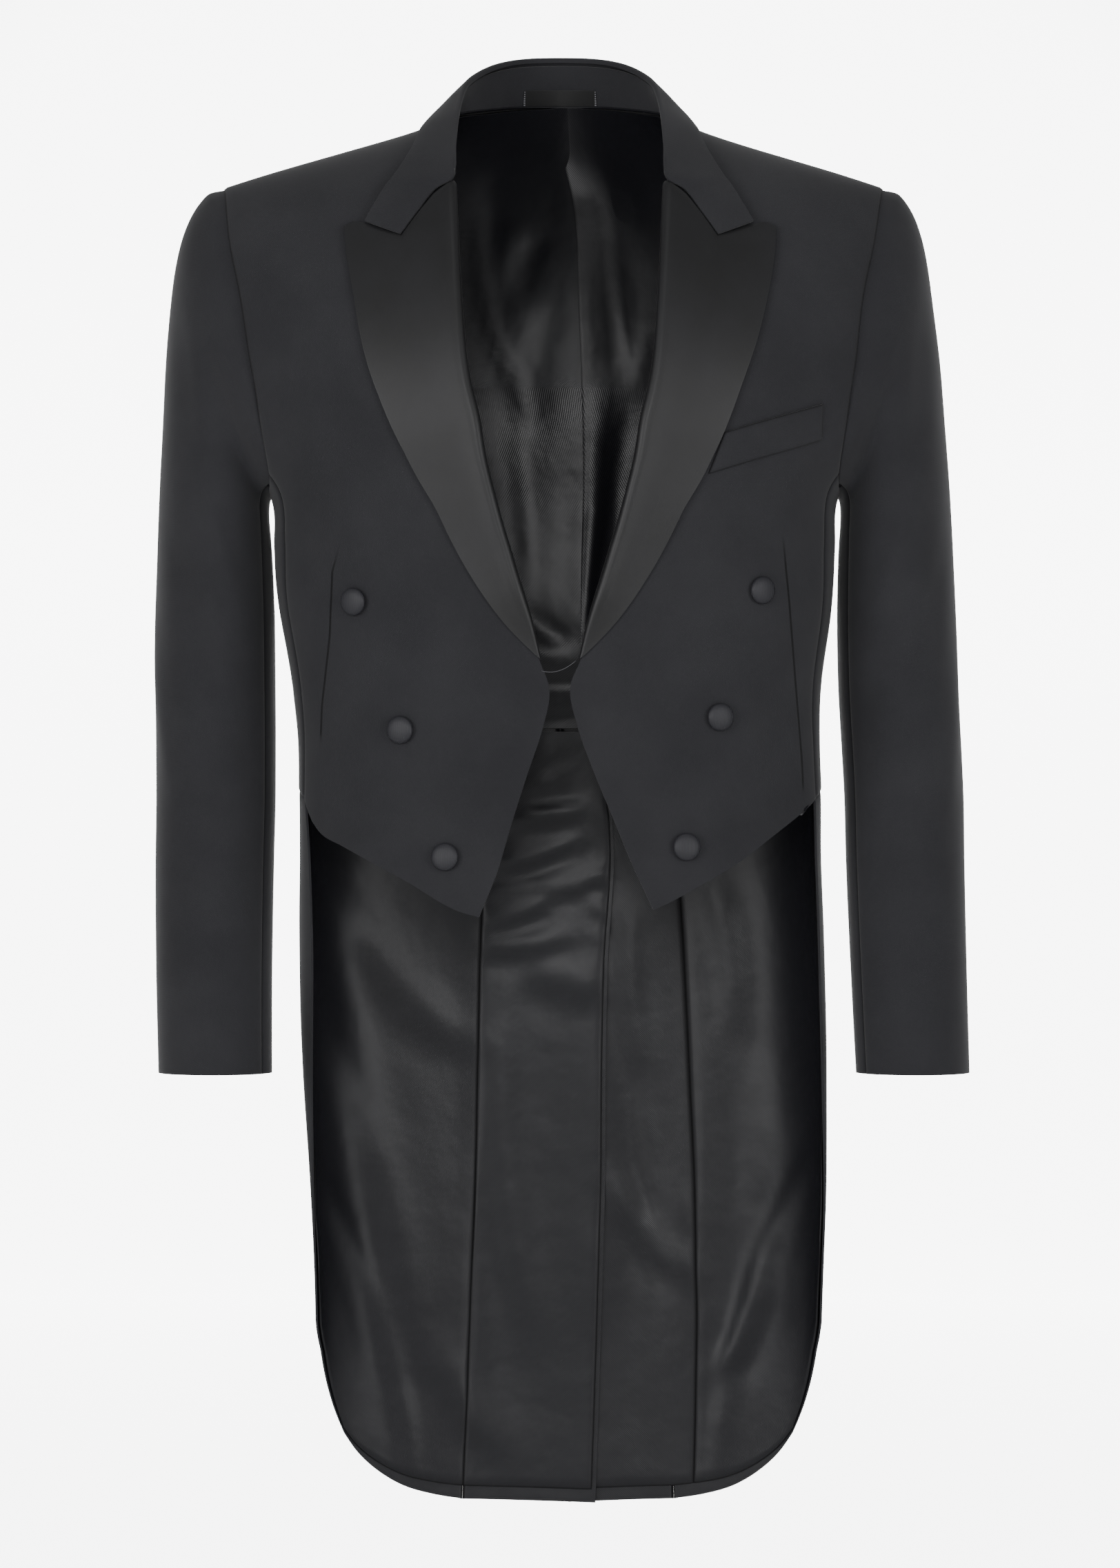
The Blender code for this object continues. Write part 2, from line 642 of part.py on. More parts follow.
def stand_stations():
    """The stand's crease and its seam to the neck, from the right end to the left end."""
    stations = []
    for count in range(1 - len(STAND_SEAM), len(STAND_SEAM)):
        row, (x, z, face), side = COLLAR[abs(count)], STAND_SEAM[abs(count)], 1 if count >= 0 else -1
        seam = (on_front if face < 0 else on_back)(side, x, z) + np.array([0, 0, 2 * HALF_SEAM])
        stations.append([count, *placed(side, row.crease_x, row.crease_y, row.crease_z), *seam])
    return stations


def collar():
    fall_rows, stand_rows = fall_stations(), stand_stations()
    stand_columns = 2 * (len(STAND_SEAM) - 1)

    def fall(u, v):
        station = (2 * u - 1) * COLLAR_STATIONS
        values = glide(fall_rows, station)
        crease, edge = values[:3], values[3:]
        over = np.array([crease[0] + edge[0], crease[1] + edge[1], 40.0])
        bulge = FALL_BULGE * (1 - 0.8 * smooth((abs(station) - 5) / 3)) * 4 * v * (1 - v)
        return crease + v * (edge - crease) + over / np.linalg.norm(over) * bulge

    def stand(u, v):
        values = glide(stand_rows, (2 * u - 1) * (len(STAND_SEAM) - 1))
        return values[:3] + (STAND_STARTS + (1 - STAND_STARTS) * v) * (values[3:] - values[:3])

    cloth("collar_fall", thick(fall), 4 * COLLAR_STATIONS, FALL_ROWS, COLLAR_CLOTH)
    cloth("collar_stand", thick(stand), stand_columns, STAND_ROWS, CLOTH)
    label = facets(thick(stand), stand_columns, STAND_ROWS, CLOTH + LAID_ON)
    places = [(stand_columns // 2 + step) / stand_columns for step in (-1, 0, 1)]
    cloth("neck_label", label, 2, 1, LABEL, "label", places, LABEL_SHARE)


def sleeve_ring(values, turn):
    """A point of a sleeve ring, round from its outer line to the front, in its own plane."""
    outer_x, outer_z, inner_x, inner_z, half_depth, centre = values
    cosine, sine = math.cos(2 * math.pi * turn), math.sin(2 * math.pi * turn)
    return np.array([(outer_x + inner_x) / 2 + (outer_x - inner_x) / 2 * cosine,
                     centre - half_depth * sine,
                     (outer_z + inner_z) / 2 + (outer_z - inner_z) / 2 * cosine])


def sleeve(name):
    side = side_of(name)
    table = [(count, *row) for count, row in enumerate(SLEEVE)]
    stations = len(SLEEVE) - 1

    def surface(turn, station):
        """The armhole's own shape at the first station, fading to the rings."""
        own = form(side, *armhole(turn % 1))
        x = side * (own[0] - sway(SHOULDER_X, own[2])) + SLEEVE_GAP
        apart = np.array([x, own[1], own[2]]) - sleeve_ring(SLEEVE[0], turn)
        fade = 1 - smooth(station / SLEEVE_LEAVES)
        return placed(side, *(sleeve_ring(glide(table, station), turn) + apart * fade))

    back_seam, front_seam, last = SLEEVE_SEAMS
    for part, first, end in (("top", back_seam, front_seam), ("under", front_seam, last)):
        def face(u, v, first=first, columns=end - first):
            return surface((first + SLEEVE_INSET + u * (columns - 2 * SLEEVE_INSET)) / SLEEVE_COLUMNS, v * stations)
        cloth(part + "_sleeve_" + name, thick(face, side), end - first, stations)


def button(name, foot, tip):
    """A covered button, turned from its profile, seated on the cloth."""
    bm = bmesh.new()
    chain = [bm.verts.new((radius * MM, 0, height * MM)) for radius, height in BUTTON_PROFILE]
    edges = [bm.edges.new(pair) for pair in zip(chain, chain[1:])]
    bmesh.ops.spin(bm, geom=chain + edges, cent=(0, 0, 0), axis=(0, 0, 1), angle=2 * math.pi,
                   steps=BUTTON_STEPS, use_merge=True)
    bmesh.ops.remove_doubles(bm, verts=bm.verts, dist=0.00001)
    bmesh.ops.recalc_face_normals(bm, faces=bm.faces)
    turn = Vector(tip - foot).to_track_quat("Z", "X").to_matrix().to_4x4()
    bmesh.ops.transform(bm, matrix=Matrix.Translation(Vector(foot) * MM) @ turn, verts=bm.verts)
    add_object(name, bm, "covered_button")


def buttons():
    for name, places in FRONT_BUTTONS.items():
        for count, (x, z) in enumerate(places, 1):
            foot, tip = [on_front(side_of(name), x, z, BUTTON_LIFT + rise) for rise in (0, 1)]
            button(f"button_{name}_{count}", foot, tip)
    for name in ("right", "left"):
        foot, tip = [on_back(side_of(name), *BACK_BUTTON, BUTTON_LIFT + rise) for rise in (0, 1)]
        button("back_button_" + name, foot, tip)


def breast_welt():
    low_inner, low_outer, high_outer, high_inner = [np.array(point) for point in WELT]

    def spot(u, v, depth):
        low = low_inner + u * (low_outer - low_inner)
        high = high_inner + u * (high_outer - high_inner)
        return on_front(1, *(low + v * (high - low)), BUTTON_LIFT + CLOTH - depth)
    cloth("breast_welt", spot, 6, 2)


def main():
    for old in list(bpy.data.objects):
        bpy.data.objects.remove(old, do_unlink=True)
    for name in ("right", "left"):
        cloth("front_" + name, front_face(name), FRONT_COLUMNS, 1 + SEAM_ROWS + ARM_ROWS)
        cloth("side_body_" + name, side_face(name), SIDE_COLUMNS, SEAM_ROWS)
        cloth("back_" + name, back_face(name), BACK_COLUMNS, BACK_ROWS)
        cloth("skirt_" + name, skirt_face(name), SIDE_COLUMNS, TAIL_ROWS)
        linings(name)
        sleeve(name)
        lapel(name)
    collar()
    buttons()
    breast_welt()


main()
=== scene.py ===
"""White tie tailcoat: its looks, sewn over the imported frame.

Each piece of cloth is cut again, finely, on the same form as the frame's solids, with the
coat's own folds, seams, rolled edges and linings, and it stands for its plain solid. Sizes
are in millimetres until a mesh is made. The front faces -Y and the wearer's left is +X.
"""

import math
from collections import namedtuple
from functools import partial

import bmesh
import bpy
import numpy as np
from mathutils import Matrix, Vector


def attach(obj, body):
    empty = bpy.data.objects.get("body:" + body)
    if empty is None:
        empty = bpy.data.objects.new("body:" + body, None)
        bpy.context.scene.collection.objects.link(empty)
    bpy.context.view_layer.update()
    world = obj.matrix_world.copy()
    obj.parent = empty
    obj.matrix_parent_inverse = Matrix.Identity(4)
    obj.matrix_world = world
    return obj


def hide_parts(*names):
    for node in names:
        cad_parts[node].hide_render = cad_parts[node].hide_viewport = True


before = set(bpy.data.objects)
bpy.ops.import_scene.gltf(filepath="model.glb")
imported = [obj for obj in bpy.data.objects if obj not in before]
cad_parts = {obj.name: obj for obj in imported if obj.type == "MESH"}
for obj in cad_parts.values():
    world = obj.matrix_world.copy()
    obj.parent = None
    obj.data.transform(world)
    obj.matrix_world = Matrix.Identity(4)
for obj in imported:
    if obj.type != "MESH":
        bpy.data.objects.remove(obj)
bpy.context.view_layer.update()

MM = 0.001
SIDES = {"right": -1, "left": 1}
FRONT, BACK = -1, 1

# Cloth
CLOTH = 1.6           # wool, canvas and fusing together
COLLAR_CLOTH = 2.0
SEAM_DIP = 1.0        # how far a seam draws the cloth in, and how far from it that reaches
SEAM_ROLL = 1.9

# Body of the coat: sections from the hem of the fronts up to the shoulders. A section is a
# rounded box: (height, half width, depth of the front, depth of the back).
ROUNDNESS = 0.8
SIDE_LINE = 6         # depth of the shoulder seam
SHOULDER_SQUARENESS = 0.3     # 0 is an ellipse from chest to back; more is flatter on top
SQUARE_FROM = 115     # it fades out from here to there across
SQUARE_TO = 215
CHEST = -230          # above this height the cloth closes over the shoulder
WAIST = -441          # below this height the tails have a form of their own
BODY = [
    (-620, 187, 126, 98),
    (-570, 187, 126, 98),
    (-520, 187, 125, 97),
    (-484, 187, 124, 96),
    (-441, 187, 124, 95),
    (-402, 189.3, 126, 97),
    (-346, 197.5, 131, 103),
    (-300, 201.5, 134, 107),
    (-262, 204.5, 137, 110),
    (-230, 226, 138, 113),
    (-189, 240, 138, 116),
    (-120, 246, 136, 118),
    (-60, 249, 132, 116),
    (40, 250, 128, 112),
]

# Tails: they hang from the waist and flatten towards the hem, so each of their sections also has
# its own side line, behind which the back's depth is smaller, and roundness.
TAIL = [
    (-1010, 183, 14, 112, 60, 1.0),
    (-900, 184, 16, 111, 52, 1.0),
    (-840, 184.5, 20, 109, 44, 0.98),
    (-760, 187, 28, 106, 30, 0.94),
    (-640, 189.5, 60, 101, 13, 0.86),
    (-570, 188.5, 105, 98, 4, 0.82),
    (-520, 187, 125, 97, 0, ROUNDNESS),
    (-484, 187, 124, 96, 0, ROUNDNESS),
    (-441, 187, 124, 95, 0, ROUNDNESS),
    (-402, 189.3, 126, 97, 0, ROUNDNESS),
]

# The coat hangs a few millimetres to one side of its middle, as on its form.
SWAY = [(-1010, 6), (-840, 6), (-760, 5.5), (-680, 3), (-600, 1), (-521, 0), (-481, 0), (-441, -1),
        (-402, -2.2), (-346, -3), (-262, -3.8), (-184, -4.8), (-105, -6), (-45, -4.7), (-10, -3), (40, 0)]
SWAY_ALL_OVER = -480  # below this height the whole width sways; above it only the sides
SWAY_STARTS = 60
SWAY_FULL = 150

# Shoulder and neck
SHOULDER_SLOPE = 0.302
SHOULDER_LEVEL = (100, -1)    # a point of the shoulder line
NECK_CLIMB = 105      # how far it climbs inside the neck, and how wide the climb is
NECK_WIDTH = 45
NECK_X = 78
SHOULDER_X = 237
NAPE_HEIGHT = 24

# Armhole, 16 steps round from the shoulder point down the front: (girth angle, height).
# The girth angle is 0 at the centre front, 90 at the side and 180 at the centre back.
ARMHOLE = [(69.6, -42.5), (66, -77), (61.8, -118), (59.2, -158), (58.6, -198), (62, -231), (71, -250),
           (81.5, -259), (92, -262), (102, -256), (110, -240), (117, -214), (121.5, -178),
           (122.5, -142), (119.8, -106), (115.5, -73), (110.4, -42.5)]
FRONT_SEAM_AT = 6 / 16
BACK_SEAM_AT = 12 / 16

# Seams down the body, lowest point first: (height, girth angle) and (height, distance from
# the centre back)
SIDE_SEAM = [(-480, 74.5), (-400, 73), (-320, 72), (-250, 71)]
BACK_SEAM = [(-431, 47), (-402, 54), (-346, 75), (-300, 98), (-260, 125), (-225, 158), (-195, 190),
             (-178, 212)]
TAIL_SEAM = [(-995, 78), (-850, 72), (-650, 62), (-568, 58), (-431, 47)]
WAIST_SEAM = [(74.5, -480), (90, -473), (120, -454), (150, -438), (170, -431)]

# Fronts, as seen from the front: (distance from the middle, height)
FRONT_EDGE = {
    "right": [(57, -563), (44.5, -533), (34, -498), (22, -461), (12, -431), (7.5, -403)],
    "left": [(65, -558), (50, -525), (37.5, -495), (21, -455), (12.5, -431), (7.5, -400)],
}
FRONT_HEM = {
    "right": [(57, -563), (67, -560.5), (110, -537), (153, -514), (169, -505), (176, -495)],
    "left": [(65, -558), (74, -554), (100, -540), (120, -528.5), (151, -506), (174, -487)],
}
ROLL_LINE = [(13, -383), (19, -356), (32.4, -311), (47, -259), (56, -212), (61, -192), (67.5, -134),
             (70, -90), (72, -44)]
NECK_SEAM = [(74.5, -27), (76.5, -10), (77.6, 5)]

# Lapels of the wearer's left front: outer edge from the break to the peak, then the top.
LAPEL_EDGE = [(17, -380), (40, -356), (65, -319), (85, -281), (98.6, -259), (112, -234), (123, -210),
              (134, -182), (142.5, -159), (151, -128), (157, -92), (157.5, -79)]
LAPEL_TOP = [(72.2, -45.8), (87.6, -55.1), (100.8, -69.3), (113.9, -85.9), (127.5, -81), (141.2, -76.3),
             (150, -75), (157.5, -79)]
LAPEL_LAID = 0.9
LAPEL_ROLL_LIFT = 3.0
# The other front's lapel and collar end are narrower: (height, share of the width).
RIGHT_SHARE = [(-420, 1.0), (-300, 1.0), (-259, 0.95), (-184, 0.92), (-130, 0.85), (-75, 0.87), (-20, 0.93),
               (10, 1.0), (40, 1.0)]

# Collar, from the centre back to the collar end. The crease is a place in space, or on the
# front where crease_y is None; the edge is a place on the coat (distance from the middle,
# height) at the back or the front of it. rise is how high the crease stands.
CollarRow = namedtuple("CollarRow", "crease_x crease_y crease_z edge_x edge_z edge_face rise")
COLLAR = [
    CollarRow(0, 72, 57, 0, 12, BACK, 2.6),
    CollarRow(27, 62, 55, 30, 9.5, BACK, 2.6),
    CollarRow(45, 46, 50, 55, 6, BACK, 2.6),
    CollarRow(59, 29, 42, 74, 3, BACK, 2.6),
    CollarRow(68, 9, 32, 84, 4.5, BACK, 2.6),
    CollarRow(72, -12, 18, 92, 4, FRONT, 2.6),
    CollarRow(74, -34, 3, 98, -5, FRONT, 2.6),
    CollarRow(74, -58, -17, 105, -21, FRONT, 3.0),
    CollarRow(72.5, None, -43.5, 117, -40, FRONT, 5.2),
    CollarRow(88.6, None, -53.5, 125, -50, FRONT, 4.0),
    CollarRow(101.5, None, -68.5, 133.5, -63, FRONT, 3.2),
    CollarRow(114.4, None, -84.7, 141, -75.3, FRONT, 3.0),
]
EDGE_RISE = 4.2
COLLAR_STATIONS = len(COLLAR) - 1
# Neck seam under the stand: (distance from the middle, height, back or front)
STAND_SEAM = [(0, 24, BACK), (30, 22.5, BACK), (50, 19, BACK), (65, 15.5, BACK), (75.5, 12.2, BACK),
              (77.8, 9.5, FRONT), (77.2, 2, FRONT)]
STAND_STARTS = 0.1     # share of the way down from the crease
FALL_BULGE = 4.0
FLAT_ENDS = 0.8       # share of the bulge that the collar's ends don't have
BULGE_FADES = (5, 8)  # stations from the centre back over which it goes
FOLD_CLOSES = (5.5, 8)        # stations over which the fold at the crease closes flat on the lapel
FALL_FACES_UP = 40    # the more, the more the bulge is upwards rather than out

# Tails: front edge as a girth angle on each side, then the round corner and the hem
TAIL_EDGE = {
    "right": [(-860, 92), (-780, 83), (-700, 75), (-640, 70.5), (-580, 68.5), (-520, 71), (-480, 74.5)],
    "left": [(-860, 93), (-780, 85.5), (-700, 80), (-640, 77.5), (-580, 76.5), (-520, 76), (-480, 74.5)],
}
HEM_CORNER = [(164, -944), (172, -923), (177.5, -902), (181, -881)]
HEM = [(164, -944), (154, -959), (142, -971), (122, -984), (98, -991.5), (78, -995)]
CENTRE_HEM = [(78, -995), (40, -997.5), (0, -998.5)]
# The underlap of the vent: (height, how far its edge passes the centre back)
UNDERLAP = [(-998.5, 20), (-603, 34), (-506, 39), (-487, 37), (-443, 4), (-437, 2), (-431, 0)]
VENT_LIFT = 4.0
VENT_OPENS = -431
VENT_OPEN = -443
VENT_LAP = 45
VENT_FADES = 110
# Where the lining's seam runs, in columns of the skirt panel from its front edge
LINING_SEAM_COLUMN = {"right": 9, "left": 7.75}

# Sleeves: stations from the armhole to the cuff, as (x and z of the outer line, x and z of the
# inner line, half the depth from front to back, how far back its middle lies).
SLEEVE = [
    (238.0, -42.5, 205.2, -262, 71, 3),
    (249, -46, 205.8, -265, 72, 3),
    (258, -57, 206.2, -269, 73, 4),
    (265, -74, 206, -274, 73, 5),
    (270, -97, 205.5, -280, 72, 6),
    (274, -128, 204.8, -288, 71, 7),
    (278, -166, 204, -298, 70, 8),
    (281, -210, 203.3, -312, 69, 9),
    (284, -258, 202.6, -331, 67, 9),
    (286.5, -320, 202, -360, 64, 8),
    (288, -390, 202.3, -410, 60, 6),
    (289.5, -470, 203.8, -470, 56, 1),
    (290, -535, 205.2, -535, 53, -5),
    (290, -605, 207, -605, 50, -13),
    (289.6, -676, 208.5, -676, 47.5, -22),
]
SLEEVE_LEAVES = 5      # stations over which the armhole's own shape fades out
SLEEVE_SEAMS = (-7, 10, 17)      # columns counted round from the shoulder point

# Buttons, pocket and label
BUTTON_LIFT = 0.4      # a button's or the welt's underside stands off the cloth
FRONT_BUTTONS = {
    "right": [(141, -342), (110.5, -432), (80, -521)],
    "left": [(144, -334), (112.5, -423), (88, -514)],
}
BACK_BUTTON = (40, -419)
WELT = [(105, -254), (189, -228.5), (189.5, -203), (117.5, -224.5)]

# Divisions of the grids
SEAM_ROWS = 9
ARM_ROWS = 9
BACK_ARM_ROWS = 6
SIDE_COLUMNS = 9
TAIL_ROWS = 13        # the top one ends where the vent opens
BACK_ROWS = TAIL_ROWS + SEAM_ROWS + BACK_ARM_ROWS
SLEEVE_COLUMNS = 24
BY_THE_EDGE = [0.0, 0.6, 1.6, 3.4]    # closer rows along the sides of a piece, for its rounded edge
BY_A_CORNER = 0.008   # closer columns beside a sharp corner, as a share of the width

# Cut sizes of the pieces, across and up
FRONT_CUT = (205, 650)
SIDE_CUT = (180, 300)
BACK_CUT = (180, 1075)
SKIRT_CUT = (190, 560)
LAPEL_CUT = (110, 345)
FALL_CUT = (520, 62)
STAND_CUT = (300, 31)
TOP_SLEEVE_CUT = (225, 645)
UNDER_SLEEVE_CUT = (95, 480)
WELT_CUT = (88, 28)
BACK_LINING_CUT = {"right": (185, 530), "left": (150, 530)}
SIDE_LINING_CUT = {"right": (170, 550), "left": (140, 550)}
CENTRE_LINING_CUT = (96, 560)
LABEL_SIZE = (62, 13.6)

# How the cloth turns and lies
FACING_LEVEL = -3.0   # the lapel's facing runs inside the front, this far from its face
FACING_DEPTH = 14
LAPEL_WALL = 1.4
ROLL_OPENS = 1 / 6    # share of the lapel's height, from the break up, over which its roll opens
BREAK_LAID = 1.5      # it lies this much closer to the front at the break
TURN_PART = 0.6       # of the columns before the face, for the roll itself
GORGE_ENDS = {"right": 134, "left": 141}
FALL_TURN = 2.4       # radius of the collar's fold at the crease
FALL_LEAN = math.radians(50)
FALL_INSIDE = 1.5
FRONT_TUCK = 4.5      # the front's own edge ends this far inside the lapel's roll
HEAD_ROLL = 1.2       # the sleeve head stands this much proud of the armhole seam
LABEL_TOP = 0.56      # share of the way down the stand
LABEL_SPREAD = 402    # of the stand at the nape: millimetres to a whole share
LINING = 0.5          # thickness of the lining
LINING_OFF = 2.4      # it hangs this far off the cloth
TROUGH = 1.5          # a fold of the lining sinks this far towards the cloth at most
PLEAT_RISE = 5.0      # the back lining's centre pleat stands off the other panel
PLEAT_FLAT = -390     # and has come down to a tenth of that here
PLEAT_AT_WAIST = 0.1
PLEAT_SINKS = -0.5    # the other panel beneath it
PLEAT_UNDER = 14      # the other panel reaches this much further
PLEAT_FROM = 0.55     # share of the back's width from which the panels are drawn out to it
PLEAT_EDGE = [(-450, 16), (-315, 15.5), (-248, 17), (-130, 14), (-42, 9), (-15, 3), (30, -1)]
OVER_VENT = 1.6       # the right tail lining over the left one, at the head of the vent
OVER_VENT_FROM = -520
VENT_LINING = 37      # how far past the centre back it reaches there, from this height up
VENT_LINED = -506
NOTCH = 3 / 7         # share of the lapel's top, from the roll, at which the notch is
SEAM_SHADE = 1.8      # painted shade darkens the cloth this near a seam, in millimetres
DARTS = {
    "right": [(-154, -300), (-160, -321), (-162, -366), (-168, -415), (-169, -440)],
    "left": [(156, -291), (161, -339), (166, -396), (171, -453), (172, -476)],
}
DART_FOOT = 6         # over these lengths a dart's line fades at its lower and upper end
DART_TIP = 25
HEM_MARGIN = 9        # cloth left bare along the hem
LINING_TOP = 0.995    # share of the way up at which the tail's lining ends, under the back's
EDGE_MARGIN = 0.026   # cloth left bare along a tail's edges, as shares of its width
VENT_MARGIN = 0.03
BUTTON_SHAPE = [(0, 0.3), (7.4, 0.0), (9.2, 0.7), (9.9, 2.0), (9.6, 3.3), (8.4, 4.5), (6.2, 5.3), (3.2, 5.75),
                (0, 5.9)]
BUTTON_SIDES = 48
PIPING = 0.9          # radius of the piping; it stops short of the stand's ends, as a share of it,
PIPING_INSET = 0.03   # and lies this share of the way down the stand, this far off it
PIPING_DOWN = 0.97
PIPING_OUT = 0.7
THREAD = 0.28         # radius of the thread that links the fronts, and where it goes in
THREAD_LINK = [(-13, -391), (11, -384)]
THREAD_LIFT = 0.6
THREAD_SAG = 3.5

# Folds, each a soft trough or ridge along a slightly bent line, as seen from its own face:
# start x z, end x z, bend sideways, half width, height (out of the cloth; below 0 is a trough)
FOLD_FADE = 0.5       # share of its length over which a fold's end fades
HOLLOW = 0.45         # a ridge has a hollow beside it: its share of the height, and its place
HOLLOW_AWAY = 1.7     # in half widths
FRONT_FOLDS = {
    "right": [
        (-205, -255, -150, -345, 6, 16, -2.2), (-215, -200, -190, -290, 4, 14, 2.0),
        (-70, -300, -30, -400, 3, 18, 1.4), (-168, -430, -178, -500, 2, 12, 1.2),
    ],
    "left": [
        (200, -250, 160, -330, -6, 16, -2.2), (212, -200, 190, -285, -4, 14, 1.8),
        (66, -300, 30, -400, -3, 18, 1.4), (170, -430, 178, -500, -2, 12, 1.2),
    ],
}
BACK_FOLDS = [
    (-200, -170, -110, -240, 8, 18, -2.4), (200, -165, 105, -250, -8, 18, -2.4),
    (-80, -380, -30, -430, 4, 14, 1.4), (82, -375, 26, -428, -4, 14, 1.2),
    (-60, -560, -48, -900, 6, 26, 2.2), (70, -540, 55, -880, -6, 26, 2.0),
]
SKIRT_FOLDS = [(-150, -520, -128, -880, 8, 24, 2.6), (152, -520, 132, -870, -8, 24, 2.4)]
BACK_LINING_FOLDS = [
    (-52, -40, -24, -190, 10, 11, 2.2), (40, -60, 56, -200, -8, 12, 1.8), (-16, -70, -30, -110, 3, 9, 2.0),
    (-12, -130, -20, -330, 8, 13, 1.6), (-84, -160, -30, -330, -10, 14, -1.8),
    (80, -150, 46, -330, 10, 14, -1.8), (-30, -340, 6, -365, 3, 9, 1.6), (34, -250, 30, -350, 3, 8, 1.4),
    (-45, -399, 50, -397, 2, 14, 5.0), (-45, -416, 50, -419, -2, 6, 1.4),
    (-12, -426, 18, -414, 2, 4, -1.0),
]
TAIL_LINING_FOLDS = [
    (2, -452, 14, -435, 1, 2.6, -1.6), (-24, -464, 4, -450, 2, 3.4, -2.2),
    (-20, -482, 4, -477, 1, 4.5, -1.8), (-38, -508, -12, -501, 1, 3.6, -1.8),
    (-49, -541, 12, -522, 3, 4.6, -3.0), (-54, -570, -10, -554, 2, 7, 2.4),
    (-30, -496, 14, -488, 2, 6, 2.6), (-44, -528, 6, -512, 3, 6, 2.8), (-8, -548, 34, -535, 2, 6, 2.2),
    (-56, -588, 4, -580, 3, 8, 2.2), (18, -544, 36, -556, -1, 3.2, -1.8),
    (22, -570, 36, -580, -1, 3.2, -1.6), (-22, -600, 30, -618, 3, 14, 1.8),
    (-150, -560, -66, -660, 10, 15, 2.6), (-168, -640, -112, -860, -10, 15, 2.8),
    (-44, -640, -22, -860, 8, 14, 2.2), (54, -560, 66, -690, 6, 12, 2.4), (62, -700, 88, -790, 5, 10, 2.0),
    (112, -540, 128, -640, -5, 10, 2.2), (142, -690, 134, -850, -8, 14, 1.8),
    (40, -760, 96, -830, 5, 12, 2.2), (116, -900, 150, -830, 4, 9, 2.4),
    (-92, -880, -40, -960, 4, 13, 1.8), (-176, -750, -108, -975, -12, 8, 1.8),
    (178, -750, 115, -975, 12, 8, 1.8),
]
# Folds of a sleeve: column round from the shoulder point, station along, slant, half width and
# half length in columns and stations, and height
SLEEVE_FOLDS = {
    "right": [
        (4, 6.5, 0.5, 1.2, 1.6, -2.2), (6.5, 8, 1.6, 1.0, 1.0, 2.0), (5, 9.4, 1.8, 1.0, 0.8, -2.4),
        (2, 10.3, 1.8, 1.0, 0.9, 1.8), (5, 11.6, -1.6, 1.1, 0.8, -1.8), (-3, 9, -1.5, 1.2, 1.2, -2.0),
    ],
    "left": [
        (4, 6.2, 0.5, 1.2, 1.6, -2.0), (6, 8.2, 1.6, 1.0, 1.0, 2.2), (4.4, 9.6, 1.7, 1.0, 0.8, -2.2),
        (2.4, 10.6, 1.6, 1.0, 0.9, 1.6), (5.4, 11.9, -1.6, 1.1, 0.8, -1.8),
        (-3.4, 9.3, -1.5, 1.2, 1.2, -2.0),
    ],
}

# Finishes
WOOL_DARK = "#222225"
WOOL_LIGHT = "#28282b"
# Painted shade: the wool's colour along its seams, open edges and dart lines
WOOL_SEAM_SHADE = "#08080a"
LINING_DARK = "#101013"
LINING_LIGHT = "#1a1a1e"
# Painted shade: the lining's colour along its seams
LINING_SEAM_SHADE = "#020203"
SATIN_DARK = "#141415"
SATIN_LIGHT = "#18181a"
BUTTON_DARK = "#1c1c1f"
BUTTON_LIGHT = "#2b2b30"
RIBBON = "#0b0b0c"
STITCHES = "#77777c"
BAR_FROM_END = 3      # a bar of stitches on the label, and half its width
BAR_HALF = 0.7
THREAD_DARK = "#303033"
THREAD_LIGHT = "#46464a"
PAPER_DARK = "#f4f4f4"
PAPER_LIGHT = "#f8f8f8"
# The paper's painted glow: it emits light, as a pool behind the coat
PAPER_GLOW = 6.0
GLOW_STARTS = 0.5     # in metres behind the coat; the paper's painted glow is full from the next
GLOW_FULL = 1.8
GLOW_REACH = (1.5, 2.4)       # in metres from the coat's middle, where the glow begins to fade and ends

# Studio, in metres
FLOOR = -1.25
WORLD_LIGHT = 0.36
SWEEP = (-6.5, 5.0, 6.5, 1.2)     # floor from, sweep starts, half width, radius of the curve
WALL = 3.5            # height of the paper above the curve
CAMERA_PLACE = (0.0, -4.5, -0.470)
CAMERA_LENS = 95.95   # millimetres
Lamp = namedtuple("Lamp", "name place aim size power")
LAMPS = [
    Lamp("key_softbox", (-2.9, -3.4, 0.0), (0, 0, -0.5), 2.0, 84),
    Lamp("fill_softbox", (3.0, -3.3, -0.1), (0, 0, -0.5), 2.0, 68),
    Lamp("front_softbox", (-0.2, -5.2, 0.45), (0, 0, -0.3), 1.1, 76),
    Lamp("top_softbox", (0, -1.8, 2.0), (0, 0, -0.3), 1.6, 7),
]


def glide(table, places):
    """Every later column of a table, smoothly, at places along its first column."""
    knots = np.array(table, float)
    if knots[0, 0] > knots[-1, 0]:
        knots = knots[::-1]
    stops, values = knots[:, 0], knots[:, 1:]
    slopes = np.gradient(values, stops, axis=0)
    places = np.clip(places, stops[0], stops[-1])
    low = np.clip(np.searchsorted(stops, places) - 1, 0, len(stops) - 2)
    span = (stops[low + 1] - stops[low])[..., None]
    t = (places - stops[low])[..., None] / span
    return ((1 + 2 * t) * (1 - t) ** 2 * values[low] + t * (1 - t) ** 2 * span * slopes[low]
            + t * t * (3 - 2 * t) * values[low + 1] + t * t * (t - 1) * span * slopes[low + 1])


def smooth(value):
    """An even rise from 0 to 1, level at both ends."""
    value = np.clip(value, 0.0, 1.0)
    return value * value * (3 - 2 * value)


def ridge(x):
    """Height of the shoulder line, which climbs to the nape inside the neck."""
    x = np.abs(x)
    slope = SHOULDER_LEVEL[1] - (x - SHOULDER_LEVEL[0]) * SHOULDER_SLOPE
    return slope + NECK_CLIMB * np.exp(-((x / NECK_WIDTH) ** 2))


